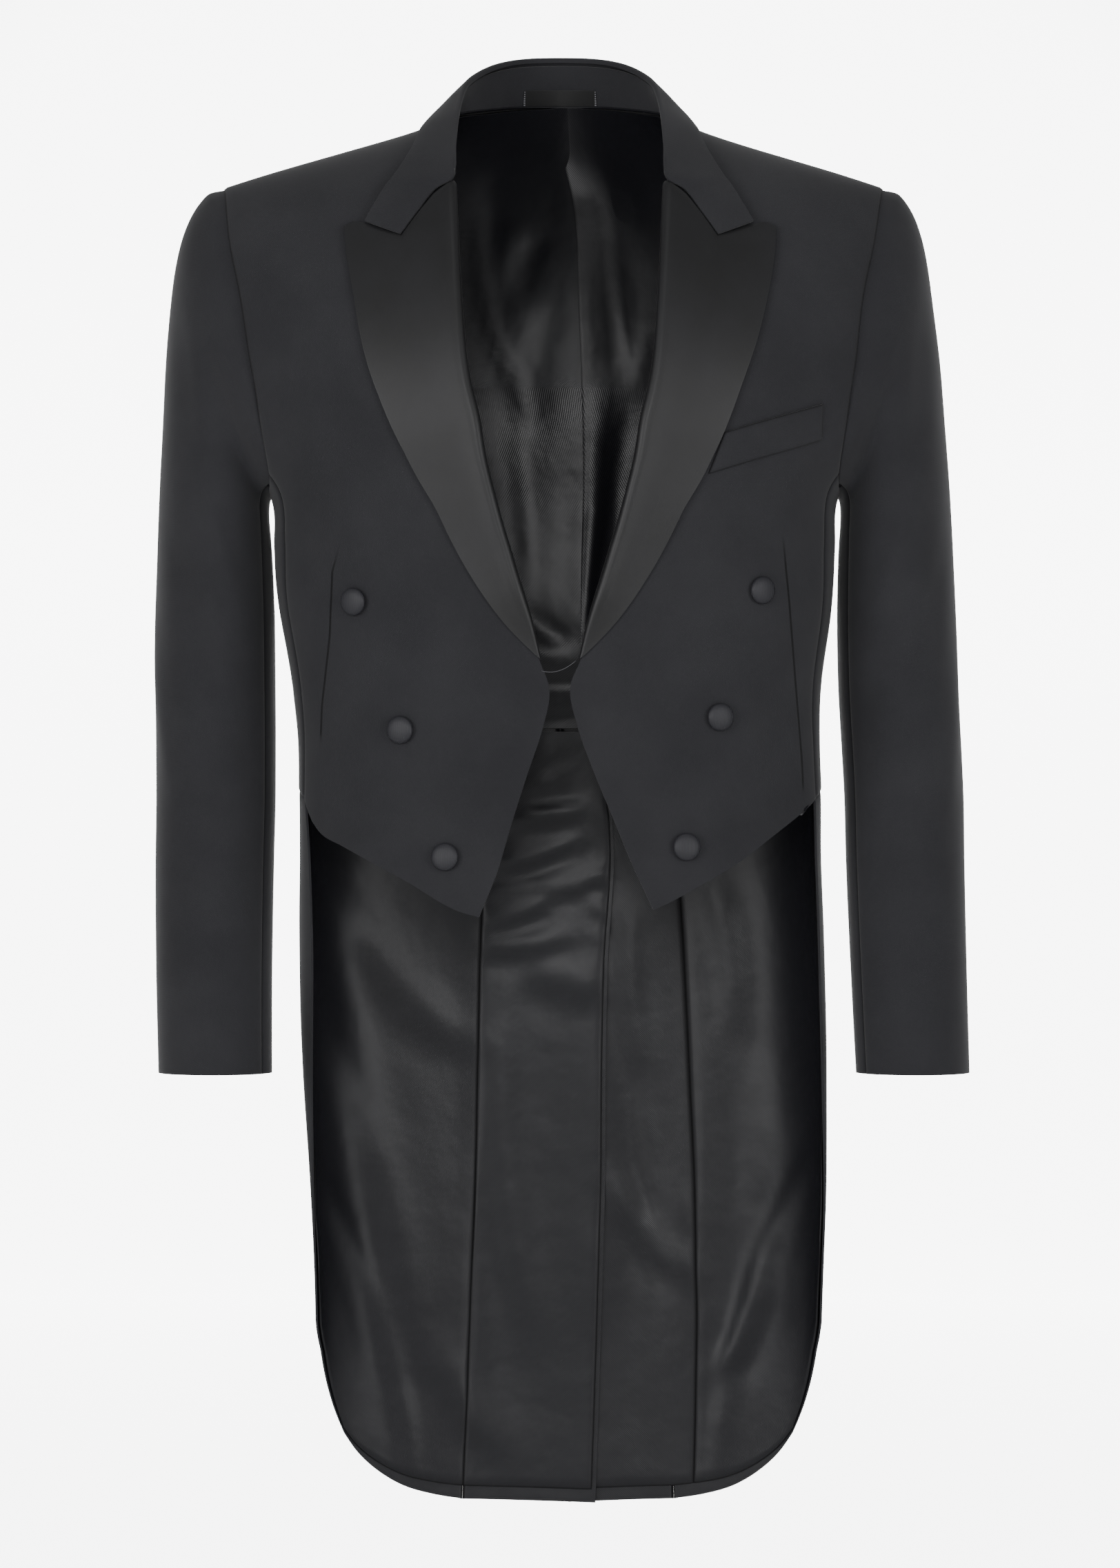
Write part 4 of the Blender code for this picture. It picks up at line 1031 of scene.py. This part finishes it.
def body_cloth():
    """Fronts, side bodies, backs and skirts, in barathea with the lining on their inner face."""
    wool = {"lining": "lining_satin", "step": 4.5}
    for name in SIDES:
        front = sew("front_cloth_" + name, "wool", front_spot(name), FRONT_CUT, "front_" + name, sewn="rt",
                    folds=FRONT_FOLDS[name], area=0.74, **wool)
        mark_darts(front, DARTS[name])
        sew("side_body_cloth_" + name, "wool", side_spot(name), SIDE_CUT, "side_body_" + name, sewn="lrbt",
            folds=FRONT_FOLDS[name] + BACK_FOLDS, area=0.9, **wool)
        sew("back_cloth_" + name, "wool", back_spot(name), BACK_CUT, "back_" + name, sewn="lt",
            folds=BACK_FOLDS, area=0.62, shape=centre_back_seam, **wool)
        sew("skirt_cloth_" + name, "wool", skirt_spot(name), SKIRT_CUT, "skirt_" + name, sewn="rt",
            folds=SKIRT_FOLDS + BACK_FOLDS, area=0.85, **wool)


def centre_back_seam(a, b, flat):
    """The seam down the centre back, which ends where the vent opens."""
    above = smooth((flat[..., 2] - VENT_OPEN) / (VENT_OPENS - VENT_OPEN))
    return -SEAM_DIP * np.exp(-(((1 - a) * BACK_CUT[0] / SEAM_ROLL) ** 2)) * above


def lapel_patch(name):
    side = SIDES[name]
    top_places = np.array([spot_at(share(side, x, z), z) for x, z in LAPEL_TOP])
    steps = np.arange(len(top_places))

    def top(t):
        place = np.asarray(t, float) * steps[-1]
        return np.stack([np.interp(place, steps, top_places[:, part]) for part in (0, 1)], axis=-1)

    inner = through([spot_at(x, z) for x, z in ROLL_LINE[:-1]] + [top_places[0]])
    outer = seen([(share(side, x, z), z) for x, z in LAPEL_EDGE])
    return between(straight(inner(0), outer(0)), top, inner, outer)


def satin_lapel(name):
    """The lapel in satin: from its outer edge in to the roll, round it, and in behind the front."""
    side, patch = SIDES[name], lapel_patch(name)

    def spot(u, v, lift):
        """u from 0 to 1 is the lapel's face, from -1 to 0 the roll and the facing behind it."""
        full, face = smooth(v / ROLL_OPENS), np.clip(u, 0, 1)
        start, end = [outward(side, patch(np.full(np.shape(v), place), v)) for place in (0.0, 1.0)]
        width = np.linalg.norm(end - start, axis=-1)
        top = LAPEL_LAID + COLLAR_CLOTH - BREAK_LAID * (1 - full)
        radius = (top + LAPEL_ROLL_LIFT * full - FACING_LEVEL) / 2
        turn = math.pi * np.clip(-u / TURN_PART, 0, 1)
        depth = np.minimum(FACING_DEPTH, 0.7 * (width - radius))
        inside = np.clip((-u - TURN_PART) / (1 - TURN_PART), 0, 1) * depth
        pushed = radius * (1 - face) * (1 - full * smooth(face / NOTCH))
        far = np.where(u > 0, pushed + face * width, radius - radius * np.sin(turn) + inside)
        level = top + LAPEL_ROLL_LIFT * (1 - face) ** 3 * full - radius * (1 - np.cos(turn))
        places = patch(np.clip(far / np.maximum(width, 0.5), 0, 1), v)
        skin = outward(side, places, level + lift * np.cos(turn))
        return skin - unit(end - start) * (lift * np.sin(turn))[..., None]

    def gorge(a, b, flat):
        """The lapel's top dips into its seam with the collar; the peak beyond it doesn't."""
        under = 1 - smooth((np.abs(flat[..., 0]) - GORGE_ENDS[name]) / 3)
        return -SEAM_DIP * under * np.exp(-(((1 - b) * LAPEL_CUT[1] / SEAM_ROLL) ** 2))

    sew("satin_lapel_" + name, "lapel_satin", spot, LAPEL_CUT, "lapel_" + name, step=3.5, across=(-1, 1),
        thickness=LAPEL_WALL, area=0.71, rests_on=["front_cloth_" + name], held="folded", shape=gorge,
        edge=0.5, corner=NOTCH)


def side_at(x):
    return SIDES["left"] if x >= 0 else SIDES["right"]


def collar_lines(u):
    """Crease, edge and station at shares along the collar, from one end to the other."""
    stations = []
    for count in range(-COLLAR_STATIONS, COLLAR_STATIONS + 1):
        row, side = COLLAR[abs(count)], side_at(count)
        edge_x = share(side, row.edge_x, row.edge_z)
        edge = on_coat(side, edge_x, row.edge_z, EDGE_RISE, row.edge_face)
        if row.crease_y is None:
            crease = on_coat(side, share(side, row.crease_x, row.crease_z), row.crease_z, row.rise)
        else:
            crease = placed(side, row.crease_x, row.crease_y, row.crease_z + row.rise)
        stations.append([count, *crease, *edge])
    station = (2 * u - 1) * COLLAR_STATIONS
    values = glide(stations, station)
    return values[..., :3], values[..., 3:], station


def collar_fall():
    """The fall: its outer face, then over the fold at the crease and a little way down inside."""
    def spot(u, v, lift):
        """v from 0 to 1 is the face down to the edge, from -1 to 0 the fold and the inside."""
        crease, edge, station = collar_lines(u)
        ends = smooth((np.abs(station) - FOLD_CLOSES[0]) / (FOLD_CLOSES[1] - FOLD_CLOSES[0]))
        radius = FALL_TURN * (1 - ends)
        aside = unit((edge - crease) * [1, 1, 0])
        centre = crease - radius[..., None] * [0, 0, 1]
        lean = FALL_LEAN * (1 - ends)
        start = centre + radius[..., None] * (aside * np.sin(lean)[..., None]
                                              + np.cos(lean)[..., None] * [0, 0, 1])
        over = unit((crease + edge) * [1, 1, 0] + [0, 0, FALL_FACES_UP])
        face = np.clip(v, 0, 1)
        flatter = FLAT_ENDS * smooth((np.abs(station) - BULGE_FADES[0]) / (BULGE_FADES[1] - BULGE_FADES[0]))
        bulge = FALL_BULGE * (1 - flatter) * 4 * face * (1 - face)
        outer = start + face[..., None] * (edge - start) + over * bulge[..., None]
        turn = lean + (-math.pi / 2 - lean) * np.clip(-v / TURN_PART, 0, 1)
        down = np.clip((-v - TURN_PART) / (1 - TURN_PART), 0, 1) * FALL_INSIDE * (1 - ends)
        round_it = aside * np.sin(turn)[..., None] + np.cos(turn)[..., None] * [0, 0, 1]
        inner = centre + radius[..., None] * round_it - down[..., None] * [0, 0, 1]
        skin = np.where((v > 0)[..., None], outer, inner)
        away = np.where((v > 0)[..., None], over, round_it)
        return skin + away * np.asarray(lift)[..., None]

    sew("collar_fall_cloth", "wool", spot, FALL_CUT, "collar_fall", step=3.5, up=(-1, 1), thickness=CLOTH,
        area=0.78, held="folded", rests_on=["collar_stand_cloth"])


def stand_line(u, v):
    """The stand's middle, from the crease down to the neck seam, and the way in to the neck."""
    stations = []
    for count in range(1 - len(STAND_SEAM), len(STAND_SEAM)):
        row, (x, z, face), side = COLLAR[abs(count)], STAND_SEAM[abs(count)], side_at(count)
        seam = on_coat(side, x, z, face=face)
        stations.append([count, *placed(side, row.crease_x, row.crease_y, row.crease_z), *seam])
    values = glide(stations, (2 * u - 1) * (len(STAND_SEAM) - 1))
    down = np.asarray(v)[..., None]
    return values[..., :3] + (STAND_STARTS + (1 - STAND_STARTS) * down) * (values[..., 3:] - values[..., :3])


def stand_spot(u, v, lift):
    """The stand's inner face, which the neck touches; lift is towards the neck."""
    here = stand_line(u, v)
    along = stand_line(u + 0.004, v) - stand_line(u - 0.004, v)
    down = stand_line(u, v + 0.01) - stand_line(u, v - 0.01)
    inwards = unit(np.cross(down, along))
    return here + inwards * (CLOTH + np.asarray(lift))[..., None]


def collar_stand():
    sew("collar_stand_cloth", "wool", stand_spot, STAND_CUT, "collar_stand", step=4, area=0.73)
    half, down = LABEL_SIZE[0] / 2 / LABEL_SPREAD, LABEL_SIZE[1] / STAND_CUT[1]
    sew("neck_label_ribbon", "label", stand_spot, LABEL_SIZE, "neck_label", step=2.5, thickness=0.3, base=0.9,
        across=(0.5 - half, 0.5 + half), up=(LABEL_TOP, LABEL_TOP + down), held="laid",
        rests_on=["collar_stand_cloth"], edge=0.1)


def sleeve_spot(name):
    """A sleeve's face; a turn starts at its outer line and goes round by the front."""
    side = SIDES[name]
    table = [(count, *row) for count, row in enumerate(SLEEVE)]

    def ring(values, turn):
        outer_x, outer_z, inner_x, inner_z, half_depth, centre = np.moveaxis(values, -1, 0)
        cosine, sine = np.cos(2 * math.pi * turn), np.sin(2 * math.pi * turn)
        return np.stack([(outer_x + inner_x) / 2 + (outer_x - inner_x) / 2 * cosine,
                         centre - half_depth * sine,
                         (outer_z + inner_z) / 2 + (outer_z - inner_z) / 2 * cosine], axis=-1)

    def surface(turn, station):
        """The armhole's own edge at the first station, fading to the rings."""
        own = outward(side, armhole(turn % 1), np.full(np.shape(turn), -SEAM_DIP))
        x = side * (own[..., 0] - sway(SHOULDER_X, own[..., 2]))
        head = np.broadcast_to(np.array(SLEEVE[0], float), np.shape(turn) + (6,))
        apart = np.stack([x, own[..., 1], own[..., 2]], axis=-1) - ring(head, turn)
        fade = 1 - smooth(station / SLEEVE_LEAVES)
        rise = HEAD_ROLL * np.exp(-(((station - 0.6) / 0.6) ** 2)) * smooth(station / 0.3)
        places = ring(glide(table, station), turn) + apart * fade[..., None]
        out = np.stack([np.cos(2 * math.pi * turn), -np.sin(2 * math.pi * turn), 0 * turn], axis=-1)
        places = places + out * rise[..., None]
        return placed(side, places[..., 0], places[..., 1], places[..., 2])

    def spot(u, v, lift):
        station = v * (len(SLEEVE) - 1)
        here = surface(u, station)
        along = surface(u + 0.003, station) - surface(u - 0.003, station)
        down = surface(u, np.clip(station + 0.05, 0, None)) - surface(u, np.clip(station - 0.05, 0, None))
        normal = unit(np.cross(along, down)) * side
        return here + normal * np.asarray(lift)[..., None]
    return spot


def sleeves():
    back_seam, front_seam, last = [column / SLEEVE_COLUMNS for column in SLEEVE_SEAMS]
    for name in SIDES:
        spot = sleeve_spot(name)
        for part, first, end, cut in (("top", back_seam, front_seam, TOP_SLEEVE_CUT),
                                      ("under", front_seam, last, UNDER_SLEEVE_CUT)):
            # Painted shade along the sleeve seams and along each piece's armhole edge.
            sew(f"{part}_sleeve_cloth_{name}", "wool", spot, cut, f"{part}_sleeve_{name}", sewn="lr",
                mouth="b", lining="lining_satin", across=(first, end), area=0.92,
                shape=sleeve_folds(name, first, end))


def sleeve_folds(name, first, end):
    """How far the folds of a sleeve lift its cloth, in a piece from one turn to another."""
    def shape(a, b, flat):
        around, station = (first + a * (end - first)) * SLEEVE_COLUMNS, b * (len(SLEEVE) - 1)
        lift = np.zeros(np.shape(a))
        for column, middle, slant, width, length, height in SLEEVE_FOLDS[name]:
            away = (around - column + SLEEVE_COLUMNS / 2) % SLEEVE_COLUMNS - SLEEVE_COLUMNS / 2
            along = station - middle
            lift += height * np.exp(-(((away - slant * along) / width) ** 2) - (along / length) ** 2)
        return lift
    return shape


def back_lining(name):
    """A panel of the back's lining. Both reach past the centre back, the left one in a pleat over
    the right one; it rises from the neck seam and lies flat again at the waist."""
    inside = back_spot(name)

    def panel(u, v, lift):
        places = inside(u, v, lift)
        edge = glide(PLEAT_EDGE, places[..., 2])[..., 0] + (PLEAT_UNDER if name == "right" else 0)
        places[..., 0] += edge * smooth((u - PLEAT_FROM) / (1 - PLEAT_FROM))
        return places

    def pleat(a, b, flat):
        z = flat[..., 2]
        waist = PLEAT_AT_WAIST + (1 - PLEAT_AT_WAIST) * smooth((z - PLEAT_FLAT) / 60)
        over = PLEAT_RISE * smooth((-z - 5) / 40) * waist
        return (over if name == "left" else PLEAT_SINKS) * smooth((a - 0.9) / 0.08)

    sew("back_lining_satin_" + name, "lining_satin", panel, BACK_LINING_CUT[name], "back_lining_" + name,
        step=4.5, base=CLOTH + LINING_OFF, inward=True, thickness=LINING, folds=BACK_LINING_FOLDS,
        over=BACK_FOLDS, up=((TAIL_ROWS + 0.05) / BACK_ROWS, 1.0), shape=pleat, area=0.88,
        rests_on=["back_cloth_" + name], held="laid")


def tail_linings(name):
    """The two panels that line a tail."""
    back, skirt = back_spot(name), skirt_spot(name)

    def inside(w, v, lift):
        """w runs from the tail's front edge, 0, over its seam, 1, to the centre back, 2."""
        outer = skirt(np.clip(w, 0, 1), v, lift)
        inner = back(np.clip(w - 1, 0, 1), v * TAIL_ROWS / BACK_ROWS, lift)
        if name == "right":
            z = inner[..., 2]
            short = np.maximum(VENT_LINING - glide(UNDERLAP, z)[..., 0], 0)
            inner[..., 0] += short * smooth((z - VENT_LINED) / 12) * smooth((w - 1.3) / 0.65)
        return np.where((w <= 1)[..., None], outer, inner)

    def over_vent(a, b, flat):
        """The right tail's lining lies over the other one where the vent begins."""
        return OVER_VENT * smooth((flat[..., 2] - OVER_VENT_FROM) / 30) if name == "right" else 0

    seam = LINING_SEAM_COLUMN[name] / SIDE_COLUMNS
    for part, across, cut in (("side", (EDGE_MARGIN, seam), SIDE_LINING_CUT[name]),
                              ("centre", (seam, 2 - VENT_MARGIN), CENTRE_LINING_CUT)):
        sew(f"tail_lining_satin_{part}_{name}", "lining_satin", inside, cut, f"tail_lining_{part}_{name}",
            step=5, base=CLOTH + LINING_OFF, inward=True, thickness=LINING, folds=TAIL_LINING_FOLDS,
            over=BACK_FOLDS + SKIRT_FOLDS, sewn="lrb", across=across,
            up=(HEM_MARGIN / SKIRT_CUT[1], LINING_TOP), area=0.92, shape=over_vent,
            rests_on=["back_cloth_" + name, "skirt_cloth_" + name], held="laid")


def button(name, side, place, face, node_name):
    """A covered button: satin over a mould, its pulled-in edge turned under."""
    foot, tip = [on_coat(side, *place, BUTTON_LIFT + rise, face) for rise in (0, 1)]
    bm = bmesh.new()
    chain = [bm.verts.new((radius * MM, 0, height * MM)) for radius, height in BUTTON_SHAPE]
    edges = [bm.edges.new(pair) for pair in zip(chain, chain[1:])]
    bmesh.ops.spin(bm, geom=chain + edges, cent=(0, 0, 0), axis=(0, 0, 1), angle=2 * math.pi,
                   steps=BUTTON_SIDES, use_merge=True)
    bmesh.ops.remove_doubles(bm, verts=bm.verts, dist=0.00001)
    bmesh.ops.recalc_face_normals(bm, faces=bm.faces)
    turn = Vector(tip - foot).to_track_quat("Z", "X").to_matrix().to_4x4()
    bmesh.ops.transform(bm, matrix=Matrix.Translation(Vector(foot) * MM) @ turn, verts=bm.verts)
    piece = add_piece(name, bm, "covered_button", node_name)
    dome = piece.modifiers.new("dome", "SUBSURF")
    dome.levels = 1
    dome.render_levels = 1


def buttons():
    for name, places in FRONT_BUTTONS.items():
        for count, place in enumerate(places, 1):
            button(f"covered_button_{name}_{count}", SIDES[name], place, FRONT, f"button_{name}_{count}")
    for name, side in SIDES.items():
        button("covered_back_button_" + name, side, BACK_BUTTON, BACK, "back_button_" + name)


def breast_welt():
    low_inner, low_outer, high_outer, high_inner = WELT
    low, high = straight(low_inner, low_outer), straight(high_inner, high_outer)

    def spot(u, v, lift):
        b = np.asarray(v)[..., None]
        x, z = np.moveaxis((1 - b) * low(u) + b * high(u), -1, 0)
        return on_coat(SIDES["left"], x, z, BUTTON_LIFT + CLOTH + np.asarray(lift))
    # Painted shade along the welt's sewn sides and along its open pocket mouth at the top.
    sew("breast_welt_cloth", "wool", spot, WELT_CUT, "breast_welt", step=3, sewn="lrb", mouth="t",
        held="laid", area=0.93, rests_on=["front_cloth_left"], folds=FRONT_FOLDS["left"])


def tube(name, slot, line, radius, steps):
    """A round tube along line(t), with closed ends."""
    def spot(u, v):
        here = line(v)
        ahead = unit(line(v + 0.01) - line(v - 0.01))
        aside = unit(np.cross(ahead, [0, 0.3, 1.0]))
        over = np.cross(aside, ahead)
        turn = np.asarray(u)[..., None] * 2 * math.pi
        return here + radius * (aside * np.cos(turn) + over * np.sin(turn))
    bm = laid_grid(np.linspace(0, 1, 9), np.linspace(0, 1, steps), spot)
    bmesh.ops.holes_fill(bm, edges=[edge for edge in bm.edges if edge.is_boundary], sides=0)
    bmesh.ops.recalc_face_normals(bm, faces=bm.faces)
    return add_piece(name, bm, slot)


def trimmings():
    """Piping along the inside of the neck seam, and the slack thread that links the fronts."""
    def neck_line(t):
        along = PIPING_INSET + (1 - 2 * PIPING_INSET) * np.asarray(t)
        return stand_spot(along, np.full(np.shape(t), PIPING_DOWN), PIPING_OUT)
    tube("neck_seam_piping", "lining_satin", neck_line, PIPING, 60)
    start, end = [on_coat(side_at(x), abs(x), z, THREAD_LIFT) for x, z in THREAD_LINK]

    def thread_line(t):
        along = np.asarray(t)[..., None]
        return start + along * (end - start) - THREAD_SAG * 4 * along * (1 - along) * [0, 0, 1]
    tube("thread_link", "thread", thread_line, THREAD, 17)


def studio():
    """Seamless paper: a floor that curves up behind the coat."""
    front, back, half, radius = SWEEP
    bm = bmesh.new()
    line = [bm.verts.new((-half, front, FLOOR)), bm.verts.new((-half, back, FLOOR))]
    bm.edges.new(line)
    corner = bmesh.ops.spin(bm, geom=[line[1]], cent=(-half, back, FLOOR + radius), axis=(1, 0, 0),
                            angle=math.pi / 2, steps=24)
    last = [part for part in corner["geom_last"] if isinstance(part, bmesh.types.BMVert)][0]
    rise = bmesh.ops.extrude_vert_indiv(bm, verts=[last])["verts"][0]
    rise.co.z += WALL
    whole = bmesh.ops.extrude_edge_only(bm, edges=bm.edges[:])["geom"]
    bmesh.ops.translate(bm, verts=[part for part in whole if isinstance(part, bmesh.types.BMVert)],
                        vec=(2 * half, 0, 0))
    bmesh.ops.remove_doubles(bm, verts=bm.verts, dist=0.0001)
    bmesh.ops.recalc_face_normals(bm, faces=bm.faces)
    bm.normal_update()
    if sum(face.normal.z for face in bm.faces) < 0:
        bmesh.ops.reverse_faces(bm, faces=bm.faces)
    mesh = bpy.data.meshes.new("paper_sweep")
    bm.to_mesh(mesh)
    bm.free()
    mesh.shade_smooth()
    mesh.materials.append(FINISHES["paper"])
    sweep = bpy.data.objects.new("paper_sweep", mesh)
    bpy.context.collection.objects.link(sweep)

    world = bpy.data.worlds.new("studio_air")
    world.use_nodes = True
    world.node_tree.nodes["Background"].inputs[0].default_value = linear("#ffffff")
    world.node_tree.nodes["Background"].inputs[1].default_value = WORLD_LIGHT
    bpy.context.scene.world = world
    for lamp in LAMPS:
        light = bpy.data.lights.new(lamp.name, "AREA")
        light.shape, light.size, light.energy = "SQUARE", lamp.size, lamp.power
        holder = bpy.data.objects.new(lamp.name, light)
        holder.location = lamp.place
        holder.rotation_euler = (Vector(lamp.aim) - Vector(lamp.place)).to_track_quat("-Z", "Y").to_euler()
        holder.visible_camera = False
        bpy.context.collection.objects.link(holder)


def photographer():
    """Level camera, straight in front of the coat."""
    view = bpy.data.cameras.new("camera")
    view.sensor_fit = "VERTICAL"
    view.sensor_height = 24
    view.lens = CAMERA_LENS
    holder = bpy.data.objects.new("camera", view)
    holder.location = CAMERA_PLACE
    holder.rotation_euler = (math.radians(90), 0, 0)
    bpy.context.collection.objects.link(holder)
    bpy.context.scene.camera = holder


body_cloth()
for half in SIDES:
    satin_lapel(half)
collar_fall()
collar_stand()
sleeves()
for half in SIDES:
    back_lining(half)
    tail_linings(half)
buttons()
breast_welt()
trimmings()
studio()
photographer()
